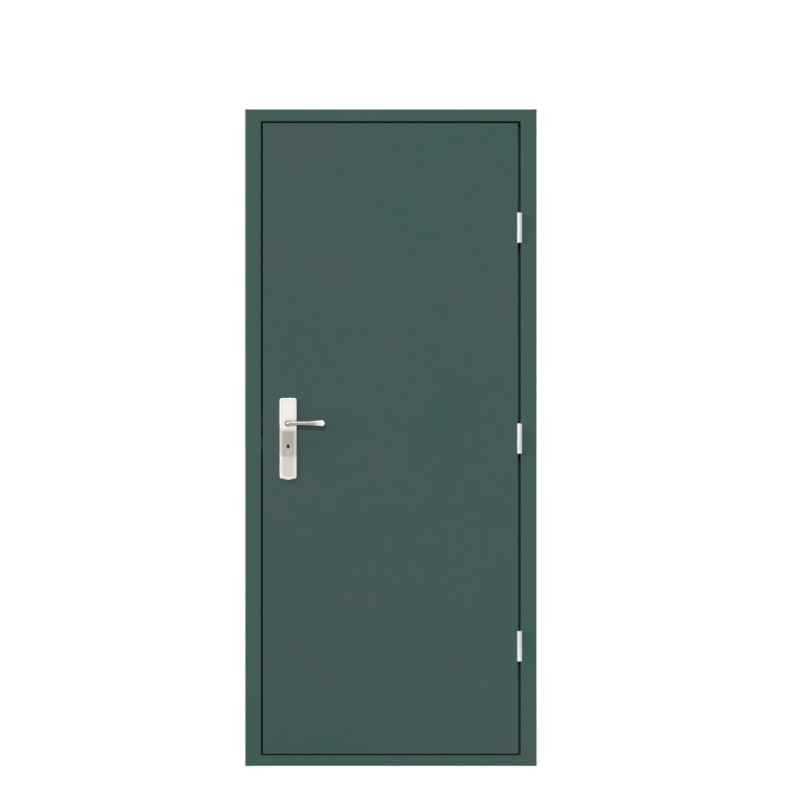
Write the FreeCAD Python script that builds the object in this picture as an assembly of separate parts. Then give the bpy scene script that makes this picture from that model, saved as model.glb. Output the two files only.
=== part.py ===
import FreeCAD, Part
import math
import os

# Steel utility door: a folded sheet frame, a hinged hollow leaf and a lever handle with a key lock.
# Millimetres. X runs to the hinge side, Y into the wall, Z up. The origin is the middle of the threshold's
# underside. The leaf closes flush with the front of the frame and opens toward -Y.

# Frame
FRAME_WIDTH = 910.0
FRAME_HEIGHT = 2050.0
FRAME_DEPTH = 100.0
FRAME_SHEET = 1.5
FRAME_BEND = 1.5
JAMB_FACE = 50.0
HEAD_FACE = 38.0
THRESHOLD_FACE = 33.0
STOP_WIDTH = 18.0
WALL_LIP = 12.0
SEAM_GAP = 0.5

# Seals on the stop faces
SEAL_WIDTH = 9.0
SEAL_THICKNESS = 5.5
SEAL_ROUND = 2.5
SEAL_INSET = 1.0
SEAL_CLEARANCE = 0.5

# Leaf
LEAF_THICKNESS = 50.0
LEAF_BEVEL = 3.0
SKIN_SHEET = 1.0
SKIN_ROUND = 2.5
BACK_FLANGE = 11.0
SKIN_CLEARANCE = 0.2
LOCK_GAP = 5.0
HINGE_GAP = 8.0
HEAD_GAP = 5.0
THRESHOLD_GAP = 5.0

# Hinges
HINGE_BELOW = 337.5
HINGE_ABOVE = 328.0
KNUCKLE_RADIUS = 8.0
KNUCKLE_HEIGHT = 45.0
KNUCKLE_ROUND = 1.0
KNUCKLE_STANDOFF = 9.0
HINGE_WASHER = 3.0
HINGE_LIFT = 0.2
HINGE_PLATE = 2.5
HINGE_PLATE_REACH = 40.0
PIN_RADIUS = 4.5
PIN_REACH = 38.0
PIN_CLEARANCE = 0.05
BACKING_THICKNESS = 4.0
BACKING_MARGIN = 14.0

# Lock in the edge of the leaf
BACKSET = 80.0
LEVER_HEIGHT = 1070.0
KEY_DROP = 72.0
FOREND_WIDTH = 24.0
FOREND_HEIGHT = 235.0
FOREND_THICKNESS = 3.0
FOREND_DROP = 30.0
LATCH_WIDTH = 12.0
LATCH_HEIGHT = 20.0
LATCH_RISE = 4.0
LATCH_SLOPE = 40.0
DEADBOLT_WIDTH = 14.0
DEADBOLT_HEIGHT = 34.0
DEADBOLT_DROP = 62.0
BOLT_LENGTH = 45.0
BOLT_CLEARANCE = 0.3
EDGE_FIT = 0.2

# Strike in the jamb
STRIKE_WIDTH = 24.0
STRIKE_HEIGHT = 170.0
STRIKE_PLAY = 2.0
STRIKE_BOX_DEPTH = 28.0
STRIKE_BOX_SHEET = 1.0
STRIKE_BOX_RIM = 8.0
STRIKE_BOX_WIDTH = 20.0
STRIKE_BOX_HEIGHT = 140.0
LOCK_SECTION_MARGIN = 40.0

# Handle plates
PLATE_WIDTH = 52.0
PLATE_ABOVE = 78.0
PLATE_BELOW = 172.5
PLATE_CORNER = 5.0
PLATE_CORNER_LEAST = 1.0
PLATE_RISE = 10.0
PLATE_BEVEL = 9.0
PLATE_BEVEL_RISE = 2.5
PLATE_WALL = 1.5
PLATE_BULGE = 3.5
PLATE_BULGE_HALF = 15.0

# Levers and spindle
NECK_RADIUS = 9.5
NECK_CLEARANCE = 0.3
NECK_GAP = 1.0
LEVER_STANDOFF = 46.0
LEVER_REACH = 115.5
SPINDLE = 8.0
SPINDLE_CLEARANCE = 0.1
SPINDLE_SOCKET = 24.0
SKIN_HOLE = 12.0
GRIP_ROUND = 0.47
# Along the grip: share of the reach, height of the middle above the spindle, height, depth
GRIP_SECTIONS = (
    (0.00, 0.4, 13.5, 14.0),
    (0.30, 0.4, 12.8, 12.6),
    (0.55, 0.4, 12.8, 11.6),
    (0.82, 0.2, 15.8, 11.0),
    (0.94, 0.1, 17.4, 10.6),
    (0.985, 0.1, 15.4, 9.0),
    (1.00, 0.1, 9.6, 5.6),
)

# Key cylinder
CYLINDER_RADIUS = 8.5
CYLINDER_TAIL = 5.0
CYLINDER_HEIGHT = 33.0
CYLINDER_PROUD = 1.0
CYLINDER_CLEARANCE = 0.2
PLUG_RADIUS = 6.5
PLUG_LENGTH = 30.0
PLUG_RECESS = 0.6
PLUG_CLEARANCE = 0.05
KEYWAY_WIDTH = 3.0
KEYWAY_HEIGHT = 9.5
KEYWAY_DEPTH = 20.0

# Wall fixings through the stops
FIXING_COUNT = 4
FIXING_LOW = 300.0
FIXING_TOP = 250.0
FIXING_HOLE = 5.5
SLEEVE_RADIUS = 8.5

# How far a cut runs past the face it opens, and how near a plane an edge lies to be on it
OVERCUT = 1.0
ON_PLANE = 0.01

# Sizes that follow
FRONT = -FRAME_DEPTH / 2
BACK = FRAME_DEPTH / 2
OUTER = FRAME_WIDTH / 2
REBATE = LEAF_THICKNESS + SEAL_THICKNESS + SEAL_CLEARANCE
STOP_FACE = FRONT + REBATE
INNER = OUTER - JAMB_FACE
LEAF_LEFT = -INNER + LOCK_GAP
LEAF_RIGHT = INNER - HINGE_GAP
LEAF_BOTTOM = THRESHOLD_FACE + THRESHOLD_GAP
LEAF_TOP = FRAME_HEIGHT - HEAD_FACE - HEAD_GAP
LEAF_MIDDLE = (LEAF_BOTTOM + LEAF_TOP) / 2
LEAF_BACK = FRONT + LEAF_THICKNESS
LEAF_CORE = FRONT + LEAF_THICKNESS / 2
BEVEL_ANGLE = math.degrees(math.atan2(LEAF_BEVEL, LEAF_THICKNESS))
HINGE_X = (LEAF_RIGHT + INNER) / 2
HINGE_HEIGHTS = (LEAF_BOTTOM + HINGE_BELOW, LEAF_MIDDLE, LEAF_TOP - HINGE_ABOVE)
HINGE_Y = FRONT - KNUCKLE_STANDOFF
SPINDLE_X = LEAF_LEFT + BACKSET
KEY_HEIGHT = LEVER_HEIGHT - KEY_DROP
PLATE_TOP = LEVER_HEIGHT + PLATE_ABOVE
PLATE_BOTTOM = LEVER_HEIGHT - PLATE_BELOW
LATCH_MIDDLE = LEVER_HEIGHT + LATCH_RISE
DEADBOLT_MIDDLE = LEVER_HEIGHT - DEADBOLT_DROP
STRIKE_MIDDLE = (LATCH_MIDDLE + DEADBOLT_MIDDLE) / 2
FIXING_Y = (STOP_FACE + BACK) / 2
FIXING_STEP = (FRAME_HEIGHT - FIXING_LOW - FIXING_TOP) / (FIXING_COUNT - 1)
FIXING_HEIGHTS = [FIXING_LOW + FIXING_STEP * number for number in range(FIXING_COUNT)]

UP = FreeCAD.Vector(0, 0, 1)
ACROSS = FreeCAD.Vector(0, 1, 0)


def box(x0, x1, y0, y1, z0, z1):
    corner = FreeCAD.Vector(x0, y0, z0)
    return Part.makeBox(x1 - x0, y1 - y0, z1 - z0, corner)


def rod(x, y, z, radius, length, direction):
    return Part.makeCylinder(radius, length, FreeCAD.Vector(x, y, z), direction)


def polygon_prism(points, run):
    wire = Part.makePolygon(points + [points[0]])
    return upright(Part.Face(wire).extrude(run))


def upright(solid):
    if solid.Volume < 0:
        solid.reverse()
    return solid


# Folded sheet: a line of corners with the sheet on its left, bent with round corners

def left_of(start, end):
    run_u = end[0] - start[0]
    run_v = end[1] - start[1]
    length = math.hypot(run_u, run_v)
    return (-run_v / length, run_u / length)


def turns_left(before, corner, after):
    first = left_of(before, corner)
    run = (after[0] - corner[0], after[1] - corner[1])
    return first[0] * run[0] + first[1] * run[1] > 0


def far_side(corners, thickness):
    moved = []
    last = len(corners) - 1
    for index, corner in enumerate(corners):
        first = left_of(corners[max(index - 1, 0)], corners[max(index, 1)])
        second = left_of(corners[min(index, last - 1)], corners[min(index + 1, last)])
        share = thickness / (1 + first[0] * second[0] + first[1] * second[1])
        across = share * (first[0] + second[0])
        along = share * (first[1] + second[1])
        moved.append((corner[0] + across, corner[1] + along))
    return moved


def toward(corner, other, distance):
    length = math.hypot(other[0] - corner[0], other[1] - corner[1])
    share = distance / length
    return (corner[0] + share * (other[0] - corner[0]), corner[1] + share * (other[1] - corner[1]))


def bent_path(corners, radii, place):
    edges = []
    start = corners[0]
    for index in range(1, len(corners) - 1):
        corner = corners[index]
        radius = radii[index - 1]
        enter = toward(corner, corners[index - 1], radius)
        leave = toward(corner, corners[index + 1], radius)
        # Square bends: the middle of the arc lies on the diagonal from the corner to the arc's centre
        centre = (enter[0] + leave[0] - corner[0], enter[1] + leave[1] - corner[1])
        middle = toward(centre, corner, radius)
        edges.append(Part.makeLine(place(*start), place(*enter)))
        edges.append(Part.Arc(place(*enter), place(*middle), place(*leave)).toShape())
        start = leave
    edges.append(Part.makeLine(place(*start), place(*corners[-1])))
    return edges


def folded_sheet(corners, thickness, bend, place, run):
    near_radii = []
    far_radii = []
    for before, corner, after in zip(corners, corners[1:], corners[2:]):
        outside = turns_left(before, corner, after)
        near_radii.append(bend + thickness if outside else bend)
        far_radii.append(bend if outside else bend + thickness)
    other = far_side(corners, thickness)
    edges = bent_path(corners, near_radii, place)
    edges.append(Part.makeLine(place(*corners[-1]), place(*other[-1])))
    edges += bent_path(other, far_radii, place)
    edges.append(Part.makeLine(place(*other[0]), place(*corners[0])))
    wire = Part.Wire(Part.__sortEdges__(edges))
    return upright(Part.Face(wire).extrude(run))


# Frame

def frame_corners(face, closed):
    stop = face + STOP_WIDTH
    middle = [(0, 0), (face, 0), (face, REBATE), (stop, REBATE), (stop, FRAME_DEPTH)]
    if closed:
        start = (0, FRAME_DEPTH - FRAME_SHEET - SEAM_GAP)
        return [start] + middle + [(0, FRAME_DEPTH)]
    return [(0, WALL_LIP)] + middle + [(0, FRAME_DEPTH), (0, FRAME_DEPTH - WALL_LIP)]


def member(face, closed, place, run):
    corners = frame_corners(face, closed)
    return folded_sheet(corners, FRAME_SHEET, FRAME_BEND, place, run)


def mitre_region(face, outer_z, inward):
    # The part of the frame that belongs to the head or threshold, with 45 degree ends
    depth = face + STOP_WIDTH + JAMB_FACE
    outer_x = OUTER - JAMB_FACE + face
    inner_x = outer_x - depth
    inner_z = outer_z + inward * depth
    points = [
        FreeCAD.Vector(-outer_x, FRONT - OVERCUT, outer_z),
        FreeCAD.Vector(outer_x, FRONT - OVERCUT, outer_z),
        FreeCAD.Vector(inner_x, FRONT - OVERCUT, inner_z),
        FreeCAD.Vector(-inner_x, FRONT - OVERCUT, inner_z),
    ]
    return polygon_prism(points, FreeCAD.Vector(0, FRAME_DEPTH + 2 * OVERCUT, 0))


def head_region():
    return mitre_region(HEAD_FACE, FRAME_HEIGHT, -1)


def threshold_region():
    return mitre_region(THRESHOLD_FACE, 0.0, 1)


def jamb(side):
    def place(inward, depth):
        return FreeCAD.Vector(side * (OUTER - inward), FRONT + depth, 0)

    shape = member(JAMB_FACE, False, place, UP * FRAME_HEIGHT)
    shape = shape.cut(head_region()).cut(threshold_region())
    for height in FIXING_HEIGHTS:
        start = side * (INNER - STOP_WIDTH - OVERCUT)
        run = FRAME_SHEET + 2 * OVERCUT
        hole = rod(start, FIXING_Y, height, FIXING_HOLE, run, FreeCAD.Vector(side, 0, 0))
        shape = shape.cut(hole)
    return shape


def left_jamb_lengths():
    # The lock side is three lengths: the middle one carries the strike
    whole = jamb(-1).cut(strike_outline(EDGE_FIT))
    low = STRIKE_MIDDLE - STRIKE_HEIGHT / 2 - LOCK_SECTION_MARGIN
    high = STRIKE_MIDDLE + STRIKE_HEIGHT / 2 + LOCK_SECTION_MARGIN

    def between(bottom, top):
        return whole.common(box(-OUTER - OVERCUT, 0, FRONT - OVERCUT, BACK + OVERCUT, bottom, top))

    return between(-OVERCUT, low), between(low, high), between(high, FRAME_HEIGHT + OVERCUT)


def head():
    def place(inward, depth):
        return FreeCAD.Vector(-OUTER, FRONT + depth, FRAME_HEIGHT - inward)

    shape = member(HEAD_FACE, False, place, FreeCAD.Vector(FRAME_WIDTH, 0, 0))
    return shape.common(head_region())


def threshold():
    def place(inward, depth):
        return FreeCAD.Vector(-OUTER, FRONT + depth, inward)

    shape = member(THRESHOLD_FACE, True, place, FreeCAD.Vector(FRAME_WIDTH, 0, 0))
    return shape.common(threshold_region())


def wall_sleeves(side):
    length = JAMB_FACE + STOP_WIDTH - FRAME_SHEET
    outward = FreeCAD.Vector(side, 0, 0)
    start = side * (OUTER - length)
    tubes = []
    for height in FIXING_HEIGHTS:
        tube = rod(start, FIXING_Y, height, SLEEVE_RADIUS, length, outward)
        tubes.append(tube.cut(rod(start, FIXING_Y, height, FIXING_HOLE, length, outward)))
    return Part.makeCompound(tubes)


# Seals: strips with rounded front edges on the stop faces

def seal_strip(inner_edge, along):
    far = inner_edge - SEAL_INSET
    near = far - SEAL_WIDTH
    front = STOP_FACE - SEAL_THICKNESS
    solid = box(near, far, front, STOP_FACE, 0, along)
    long_edges = [edge for edge in edges_at_depth(solid, front) if edge.BoundBox.ZLength > SEAL_WIDTH]
    return solid.makeFillet(SEAL_ROUND, long_edges)


def side_seal(side):
    low = THRESHOLD_FACE + STOP_WIDTH - SEAL_INSET - SEAL_WIDTH
    high = FRAME_HEIGHT - HEAD_FACE - STOP_WIDTH + SEAL_INSET + SEAL_WIDTH
    strip = seal_strip(JAMB_FACE + STOP_WIDTH, high - low)
    strip.translate(FreeCAD.Vector(-OUTER, 0, low))
    if side > 0:
        strip = strip.mirror(FreeCAD.Vector(0, 0, 0), FreeCAD.Vector(1, 0, 0))
    return strip


def cross_seal(face):
    half = INNER - STOP_WIDTH + SEAL_INSET
    strip = seal_strip(face + STOP_WIDTH, 2 * half)
    strip.rotate(FreeCAD.Vector(0, 0, 0), ACROSS, -90)
    strip.translate(FreeCAD.Vector(half, 0, 0))
    return strip


def head_seal():
    strip = cross_seal(HEAD_FACE).mirror(FreeCAD.Vector(0, 0, 0), UP)
    strip.translate(UP * FRAME_HEIGHT)
    return strip


def threshold_seal():
    return cross_seal(THRESHOLD_FACE)


# Leaf

def leaf_block(inset, front, back):
    # Plan of the leaf between two depths, drawn in by the inset, with the bevelled lock edge
    def lock_x(depth):
        return LEAF_LEFT + inset + LEAF_BEVEL * (depth - FRONT) / LEAF_THICKNESS

    low = LEAF_BOTTOM + inset
    points = [
        FreeCAD.Vector(lock_x(front), front, low),
        FreeCAD.Vector(LEAF_RIGHT - inset, front, low),
        FreeCAD.Vector(LEAF_RIGHT - inset, back, low),
        FreeCAD.Vector(lock_x(back), back, low),
    ]
    return polygon_prism(points, UP * (LEAF_TOP - LEAF_BOTTOM - 2 * inset))


def edges_at_depth(solid, depth):
    found = []
    for edge in solid.Edges:
        reach = edge.BoundBox
        if abs(reach.YMin - depth) < ON_PLANE and abs(reach.YMax - depth) < ON_PLANE:
            found.append(edge)
    return found


def rounded_block(inset, front, back, radius, round_depth):
    solid = leaf_block(inset, front, back)
    return solid.makeFillet(radius, edges_at_depth(solid, round_depth))


def lock_holes(front, back):
    run = back - front
    spindle_hole = rod(SPINDLE_X, front, LEVER_HEIGHT, SKIN_HOLE, run, ACROSS)
    return spindle_hole.fuse(cylinder_profile(CYLINDER_CLEARANCE, front, back))


def leaf_front_skin():
    outer = rounded_block(0.0, FRONT, LEAF_BACK, SKIN_ROUND, FRONT)
    inside = FRONT + SKIN_SHEET
    inner = rounded_block(SKIN_SHEET, inside, LEAF_BACK + OVERCUT, SKIN_ROUND - SKIN_SHEET, inside)
    skin = outer.cut(inner)
    skin = skin.cut(lock_holes(FRONT - OVERCUT, inside + OVERCUT))
    return skin.cut(forend_outline(EDGE_FIT))


def leaf_back_skin():
    fit = SKIN_SHEET + SKIN_CLEARANCE
    front = LEAF_BACK - BACK_FLANGE
    outer = rounded_block(fit, front, LEAF_BACK, SKIN_ROUND - SKIN_SHEET, LEAF_BACK)
    inside = LEAF_BACK - SKIN_SHEET
    inner = leaf_block(fit + SKIN_SHEET, front - OVERCUT, inside)
    skin = outer.cut(inner)
    return skin.cut(lock_holes(inside - OVERCUT, LEAF_BACK + OVERCUT))


# Hinges: the frame half carries the lower knuckle and the pin, the leaf half turns on the pin

def knuckle(low, high, round_low, round_high):
    solid = rod(HINGE_X, HINGE_Y, low, KNUCKLE_RADIUS, high - low, UP)
    edges = []
    for edge in solid.Edges:
        ends_low = edge.BoundBox.ZMax < low + ON_PLANE
        ends_high = edge.BoundBox.ZMin > high - ON_PLANE
        if (ends_low and round_low) or (ends_high and round_high):
            edges.append(edge)
    return solid.makeFillet(KNUCKLE_ROUND, edges)


def hinge_flag(x0, x1, low, high, round_low, round_high):
    plate = box(x0, x1, HINGE_Y, FRONT + HINGE_PLATE_REACH, low, high)
    return knuckle(low, high, round_low, round_high).fuse(plate)


def frame_half_top(middle):
    return middle - HINGE_WASHER / 2


def hinge_frame_half(middle):
    high = frame_half_top(middle)
    flag = hinge_flag(INNER - HINGE_PLATE, INNER, high - KNUCKLE_HEIGHT, high, True, False)
    pin = rod(HINGE_X, HINGE_Y, high - OVERCUT, PIN_RADIUS, PIN_REACH + OVERCUT, UP)
    return flag.fuse(pin).removeSplitter()


def hinge_leaf_half(middle):
    low = middle + HINGE_WASHER / 2 + HINGE_LIFT
    flag = hinge_flag(LEAF_RIGHT, LEAF_RIGHT + HINGE_PLATE, low, low + KNUCKLE_HEIGHT, False, True)
    bore = rod(HINGE_X, HINGE_Y, low - OVERCUT, PIN_RADIUS + PIN_CLEARANCE, PIN_REACH, UP)
    return flag.cut(bore).removeSplitter()


def hinge_washer(middle):
    low = frame_half_top(middle)
    ring = rod(HINGE_X, HINGE_Y, low, KNUCKLE_RADIUS, HINGE_WASHER, UP)
    return ring.cut(rod(HINGE_X, HINGE_Y, low, PIN_RADIUS + PIN_CLEARANCE, HINGE_WASHER, UP))


def hinge_backing_plates():
    face = INNER + FRAME_SHEET
    front = FRONT + FRAME_SHEET + 2 * FRAME_BEND
    back = STOP_FACE - FRAME_SHEET - 2 * FRAME_BEND
    half = KNUCKLE_HEIGHT + BACKING_MARGIN
    plates = []
    for middle in HINGE_HEIGHTS:
        plates.append(box(face, face + BACKING_THICKNESS, front, back, middle - half, middle + half))
    return Part.makeCompound(plates)


# Lock edge: shapes drawn on a square edge, then leaned onto the bevel

def on_bevel(shape):
    shape.rotate(FreeCAD.Vector(LEAF_LEFT, FRONT, 0), UP, -BEVEL_ANGLE)
    return shape


def edge_block(width, height, middle, depth, margin):
    half = width / 2 + margin
    tall = height / 2 + margin
    return box(LEAF_LEFT, LEAF_LEFT + depth, LEAF_CORE - half, LEAF_CORE + half,
               middle - tall, middle + tall)


def forend_outline(margin):
    middle = LEVER_HEIGHT - FOREND_DROP
    block = edge_block(FOREND_WIDTH, FOREND_HEIGHT, middle, FOREND_THICKNESS + OVERCUT, margin)
    block.translate(FreeCAD.Vector(-OVERCUT, 0, 0))
    return on_bevel(block)


def latch_block(margin):
    return edge_block(LATCH_WIDTH, LATCH_HEIGHT, LATCH_MIDDLE, BOLT_LENGTH, margin)


def deadbolt_block(margin):
    return edge_block(DEADBOLT_WIDTH, DEADBOLT_HEIGHT, DEADBOLT_MIDDLE, BOLT_LENGTH, margin)


def lock_forend():
    middle = LEVER_HEIGHT - FOREND_DROP
    plate = edge_block(FOREND_WIDTH, FOREND_HEIGHT, middle, FOREND_THICKNESS, 0.0)
    plate = plate.cut(latch_block(BOLT_CLEARANCE)).cut(deadbolt_block(BOLT_CLEARANCE))
    return on_bevel(plate)


def latch_bolt():
    # The nose slopes back on the side that meets the jamb first as the leaf closes
    slope = latch_block(0.0)
    slope.rotate(FreeCAD.Vector(LEAF_LEFT, LEAF_CORE - LATCH_WIDTH / 2, 0), UP, LATCH_SLOPE)
    return on_bevel(latch_block(0.0).cut(slope))


def dead_bolt():
    return on_bevel(deadbolt_block(0.0))


# Strike: a plate flush in the jamb with a sheet box behind it

def strike_outline(margin):
    half = STRIKE_WIDTH / 2 + margin
    tall = STRIKE_HEIGHT / 2 + margin
    return box(-INNER - FRAME_SHEET, -INNER, LEAF_CORE - half, LEAF_CORE + half,
               STRIKE_MIDDLE - tall, STRIKE_MIDDLE + tall)


def strike_hole(width, height, middle):
    half = width / 2 + STRIKE_PLAY
    tall = height / 2 + STRIKE_PLAY
    return box(-INNER - FRAME_SHEET - OVERCUT, -INNER + OVERCUT, LEAF_CORE - half, LEAF_CORE + half,
               middle - tall, middle + tall)


def strike_plate():
    plate = strike_outline(0.0)
    plate = plate.cut(strike_hole(LATCH_WIDTH, LATCH_HEIGHT, LATCH_MIDDLE))
    return plate.cut(strike_hole(DEADBOLT_WIDTH, DEADBOLT_HEIGHT, DEADBOLT_MIDDLE))


def strike_box():
    face = -INNER - FRAME_SHEET
    sheet = STRIKE_BOX_SHEET
    half = STRIKE_BOX_WIDTH / 2
    tall = STRIKE_BOX_HEIGHT / 2
    rim = STRIKE_BOX_RIM

    def around(x0, x1, wide, high):
        return box(x0, x1, LEAF_CORE - wide, LEAF_CORE + wide,
                   STRIKE_MIDDLE - high, STRIKE_MIDDLE + high)

    flange = around(face - sheet, face, half + rim, STRIKE_HEIGHT / 2 + rim)
    pocket = around(face - STRIKE_BOX_DEPTH, face, half + sheet, tall + sheet)
    space = around(face - STRIKE_BOX_DEPTH + sheet, face + OVERCUT, half, tall)
    return flange.fuse(pocket).cut(space).removeSplitter()


# Handle plates

def plate_outline(inset, depth):
    half = PLATE_WIDTH / 2 - inset
    top = PLATE_TOP - inset
    bottom = PLATE_BOTTOM + inset
    bulge = PLATE_BULGE_HALF * half / (PLATE_WIDTH / 2)
    corner = max(PLATE_CORNER - inset / 2, PLATE_CORNER_LEAST)
    ease = corner * (1 - math.sqrt(0.5))

    def at(across, height):
        return FreeCAD.Vector(SPINDLE_X + across, depth, height)

    def arc(first, middle, last):
        return Part.Arc(at(*first), at(*middle), at(*last)).toShape()

    shoulder = half - corner
    turn = half - ease
    edges = [
        Part.makeLine(at(-half, bottom + corner), at(-half, top - corner)),
        arc((-half, top - corner), (-turn, top - ease), (-shoulder, top)),
        Part.makeLine(at(-shoulder, top), at(shoulder, top)),
        arc((shoulder, top), (turn, top - ease), (half, top - corner)),
        Part.makeLine(at(half, top - corner), at(half, bottom + corner)),
        arc((half, bottom + corner), (turn, bottom + ease), (shoulder, bottom)),
        Part.makeLine(at(shoulder, bottom), at(bulge, bottom)),
        arc((bulge, bottom), (0, bottom - PLATE_BULGE), (-bulge, bottom)),
        Part.makeLine(at(-bulge, bottom), at(-shoulder, bottom)),
        arc((-shoulder, bottom), (-turn, bottom + ease), (-half, bottom + corner)),
    ]
    return Part.Wire(edges)


def plate_mass(inset, rise):
    shoulder = FRONT - rise + PLATE_BEVEL_RISE
    base = Part.Face(plate_outline(inset, FRONT)).extrude(FreeCAD.Vector(0, shoulder - FRONT, 0))
    outlines = [plate_outline(inset, shoulder), plate_outline(inset + PLATE_BEVEL, FRONT - rise)]
    return upright(base).fuse(upright(Part.makeLoft(outlines, True, True)))


def front_plate():
    shell = plate_mass(0.0, PLATE_RISE).cut(plate_mass(PLATE_WALL, PLATE_RISE - PLATE_WALL))
    start = FRONT - PLATE_RISE - OVERCUT
    neck_hole = rod(SPINDLE_X, start, LEVER_HEIGHT, NECK_RADIUS + NECK_CLEARANCE, FRONT - start, ACROSS)
    shell = shell.cut(neck_hole).cut(cylinder_profile(CYLINDER_CLEARANCE, start, FRONT))
    return shell.removeSplitter()


def to_back(shape):
    return shape.mirror(FreeCAD.Vector(0, LEAF_CORE, 0), ACROSS)


# Key cylinder: a round body with a narrow tail, and a plug with a keyway at each end

def cylinder_profile(margin, front, back):
    run = back - front
    tail_low = KEY_HEIGHT + CYLINDER_RADIUS - CYLINDER_HEIGHT + CYLINDER_TAIL
    body = rod(SPINDLE_X, front, KEY_HEIGHT, CYLINDER_RADIUS + margin, run, ACROSS)
    half = CYLINDER_TAIL + margin
    web = box(SPINDLE_X - half, SPINDLE_X + half, front, back, tail_low, KEY_HEIGHT)
    foot = rod(SPINDLE_X, front, tail_low, half, run, ACROSS)
    return body.fuse(web).fuse(foot).removeSplitter()


def cylinder_end():
    return FRONT - PLATE_RISE - CYLINDER_PROUD


def key_cylinder():
    end = cylinder_end()
    body = cylinder_profile(0.0, end, 2 * LEAF_CORE - end)
    bore = rod(SPINDLE_X, end, KEY_HEIGHT, PLUG_RADIUS + PLUG_CLEARANCE, PLUG_LENGTH + PLUG_RECESS, ACROSS)
    return body.cut(bore).cut(to_back(bore))


def front_key_plug():
    start = cylinder_end() + PLUG_RECESS
    plug = rod(SPINDLE_X, start, KEY_HEIGHT, PLUG_RADIUS, PLUG_LENGTH, ACROSS)
    half = KEYWAY_WIDTH / 2
    tall = KEYWAY_HEIGHT / 2
    keyway = box(SPINDLE_X - half, SPINDLE_X + half, start, start + KEYWAY_DEPTH,
                 KEY_HEIGHT - tall, KEY_HEIGHT + tall)
    return plug.cut(keyway)


# Levers and spindle

def grip_section(share, rise, height, depth):
    x = SPINDLE_X + share * LEVER_REACH
    y = FRONT - LEVER_STANDOFF
    z = LEVER_HEIGHT + rise
    radius = GRIP_ROUND * min(height, depth)
    ease = radius * (1 - math.sqrt(0.5))
    half = depth / 2
    tall = height / 2

    def at(across, above):
        return FreeCAD.Vector(x, y + across, z + above)

    edges = []
    for across, above in ((1, 1), (-1, 1), (-1, -1), (1, -1)):
        side = at(across * half, above * (tall - radius))
        middle = at(across * (half - ease), above * (tall - ease))
        cap = at(across * (half - radius), above * tall)
        if across == above:
            edges.append(Part.Arc(side, middle, cap).toShape())
            edges.append(Part.makeLine(cap, at(-across * (half - radius), above * tall)))
        else:
            edges.append(Part.Arc(cap, middle, side).toShape())
            edges.append(Part.makeLine(side, at(across * half, -above * (tall - radius))))
    return Part.Wire(edges)


def front_lever():
    bend = FreeCAD.Vector(SPINDLE_X, FRONT - LEVER_STANDOFF, LEVER_HEIGHT)
    neck = rod(bend.x, bend.y, bend.z, NECK_RADIUS, LEVER_STANDOFF - NECK_GAP, ACROSS)
    grip = upright(Part.makeLoft([grip_section(*section) for section in GRIP_SECTIONS], True, False))
    lever = neck.fuse(Part.makeSphere(NECK_RADIUS, bend)).fuse(grip)
    half = SPINDLE / 2 + SPINDLE_CLEARANCE
    end = FRONT - NECK_GAP
    socket = box(SPINDLE_X - half, SPINDLE_X + half, end - SPINDLE_SOCKET, end + OVERCUT,
                 LEVER_HEIGHT - half, LEVER_HEIGHT + half)
    return lever.cut(socket).removeSplitter()


def spindle():
    half = SPINDLE / 2
    front = FRONT - NECK_GAP - SPINDLE_SOCKET
    return box(SPINDLE_X - half, SPINDLE_X + half, front, 2 * LEAF_CORE - front,
               LEVER_HEIGHT - half, LEVER_HEIGHT + half)


def all_parts():
    lower_jamb, lock_jamb, upper_jamb = left_jamb_lengths()
    parts = {
        "frame_left_jamb_lower": lower_jamb,
        "frame_left_jamb_lock": lock_jamb,
        "frame_left_jamb_upper": upper_jamb,
        "frame_right_jamb": jamb(1),
        "frame_head": head(),
        "frame_threshold": threshold(),
        "left_seal": side_seal(-1),
        "right_seal": side_seal(1),
        "head_seal": head_seal(),
        "threshold_seal": threshold_seal(),
        "left_wall_sleeves": wall_sleeves(-1),
        "right_wall_sleeves": wall_sleeves(1),
        "hinge_backing_plates": hinge_backing_plates(),
        "strike_plate": strike_plate(),
        "strike_box": strike_box(),
        "leaf_front_skin": leaf_front_skin(),
        "leaf_back_skin": leaf_back_skin(),
        "lock_forend": lock_forend(),
        "latch_bolt": latch_bolt(),
        "dead_bolt": dead_bolt(),
        "front_handle_plate": front_plate(),
        "back_handle_plate": to_back(front_plate()),
        "key_cylinder": key_cylinder(),
        "front_key_plug": front_key_plug(),
        "back_key_plug": to_back(front_key_plug()),
        "front_lever": front_lever(),
        "back_lever": to_back(front_lever()),
        "spindle": spindle(),
    }
    for name, middle in zip(("lower", "middle", "upper"), HINGE_HEIGHTS):
        parts[name + "_hinge_frame_half"] = hinge_frame_half(middle)
        parts[name + "_hinge_leaf_half"] = hinge_leaf_half(middle)
        parts[name + "_hinge_washer"] = hinge_washer(middle)
    return parts


os.makedirs("parts", exist_ok=True)
for part_name, part_shape in all_parts().items():
    part_shape.exportStep(os.path.join("parts", part_name + ".step"))
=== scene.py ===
"""Steel utility door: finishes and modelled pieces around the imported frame, leaf and handle."""

import logging
import math
from collections.abc import Callable, Iterable, Sequence
from dataclasses import dataclass
from enum import Enum, IntEnum
from itertools import pairwise

import bmesh
import bpy
from bmesh.types import BMEdge, BMVert
from bpy.types import Material, Node, NodeSocket, NodeTree, Object
from mathutils import Matrix, Vector


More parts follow.
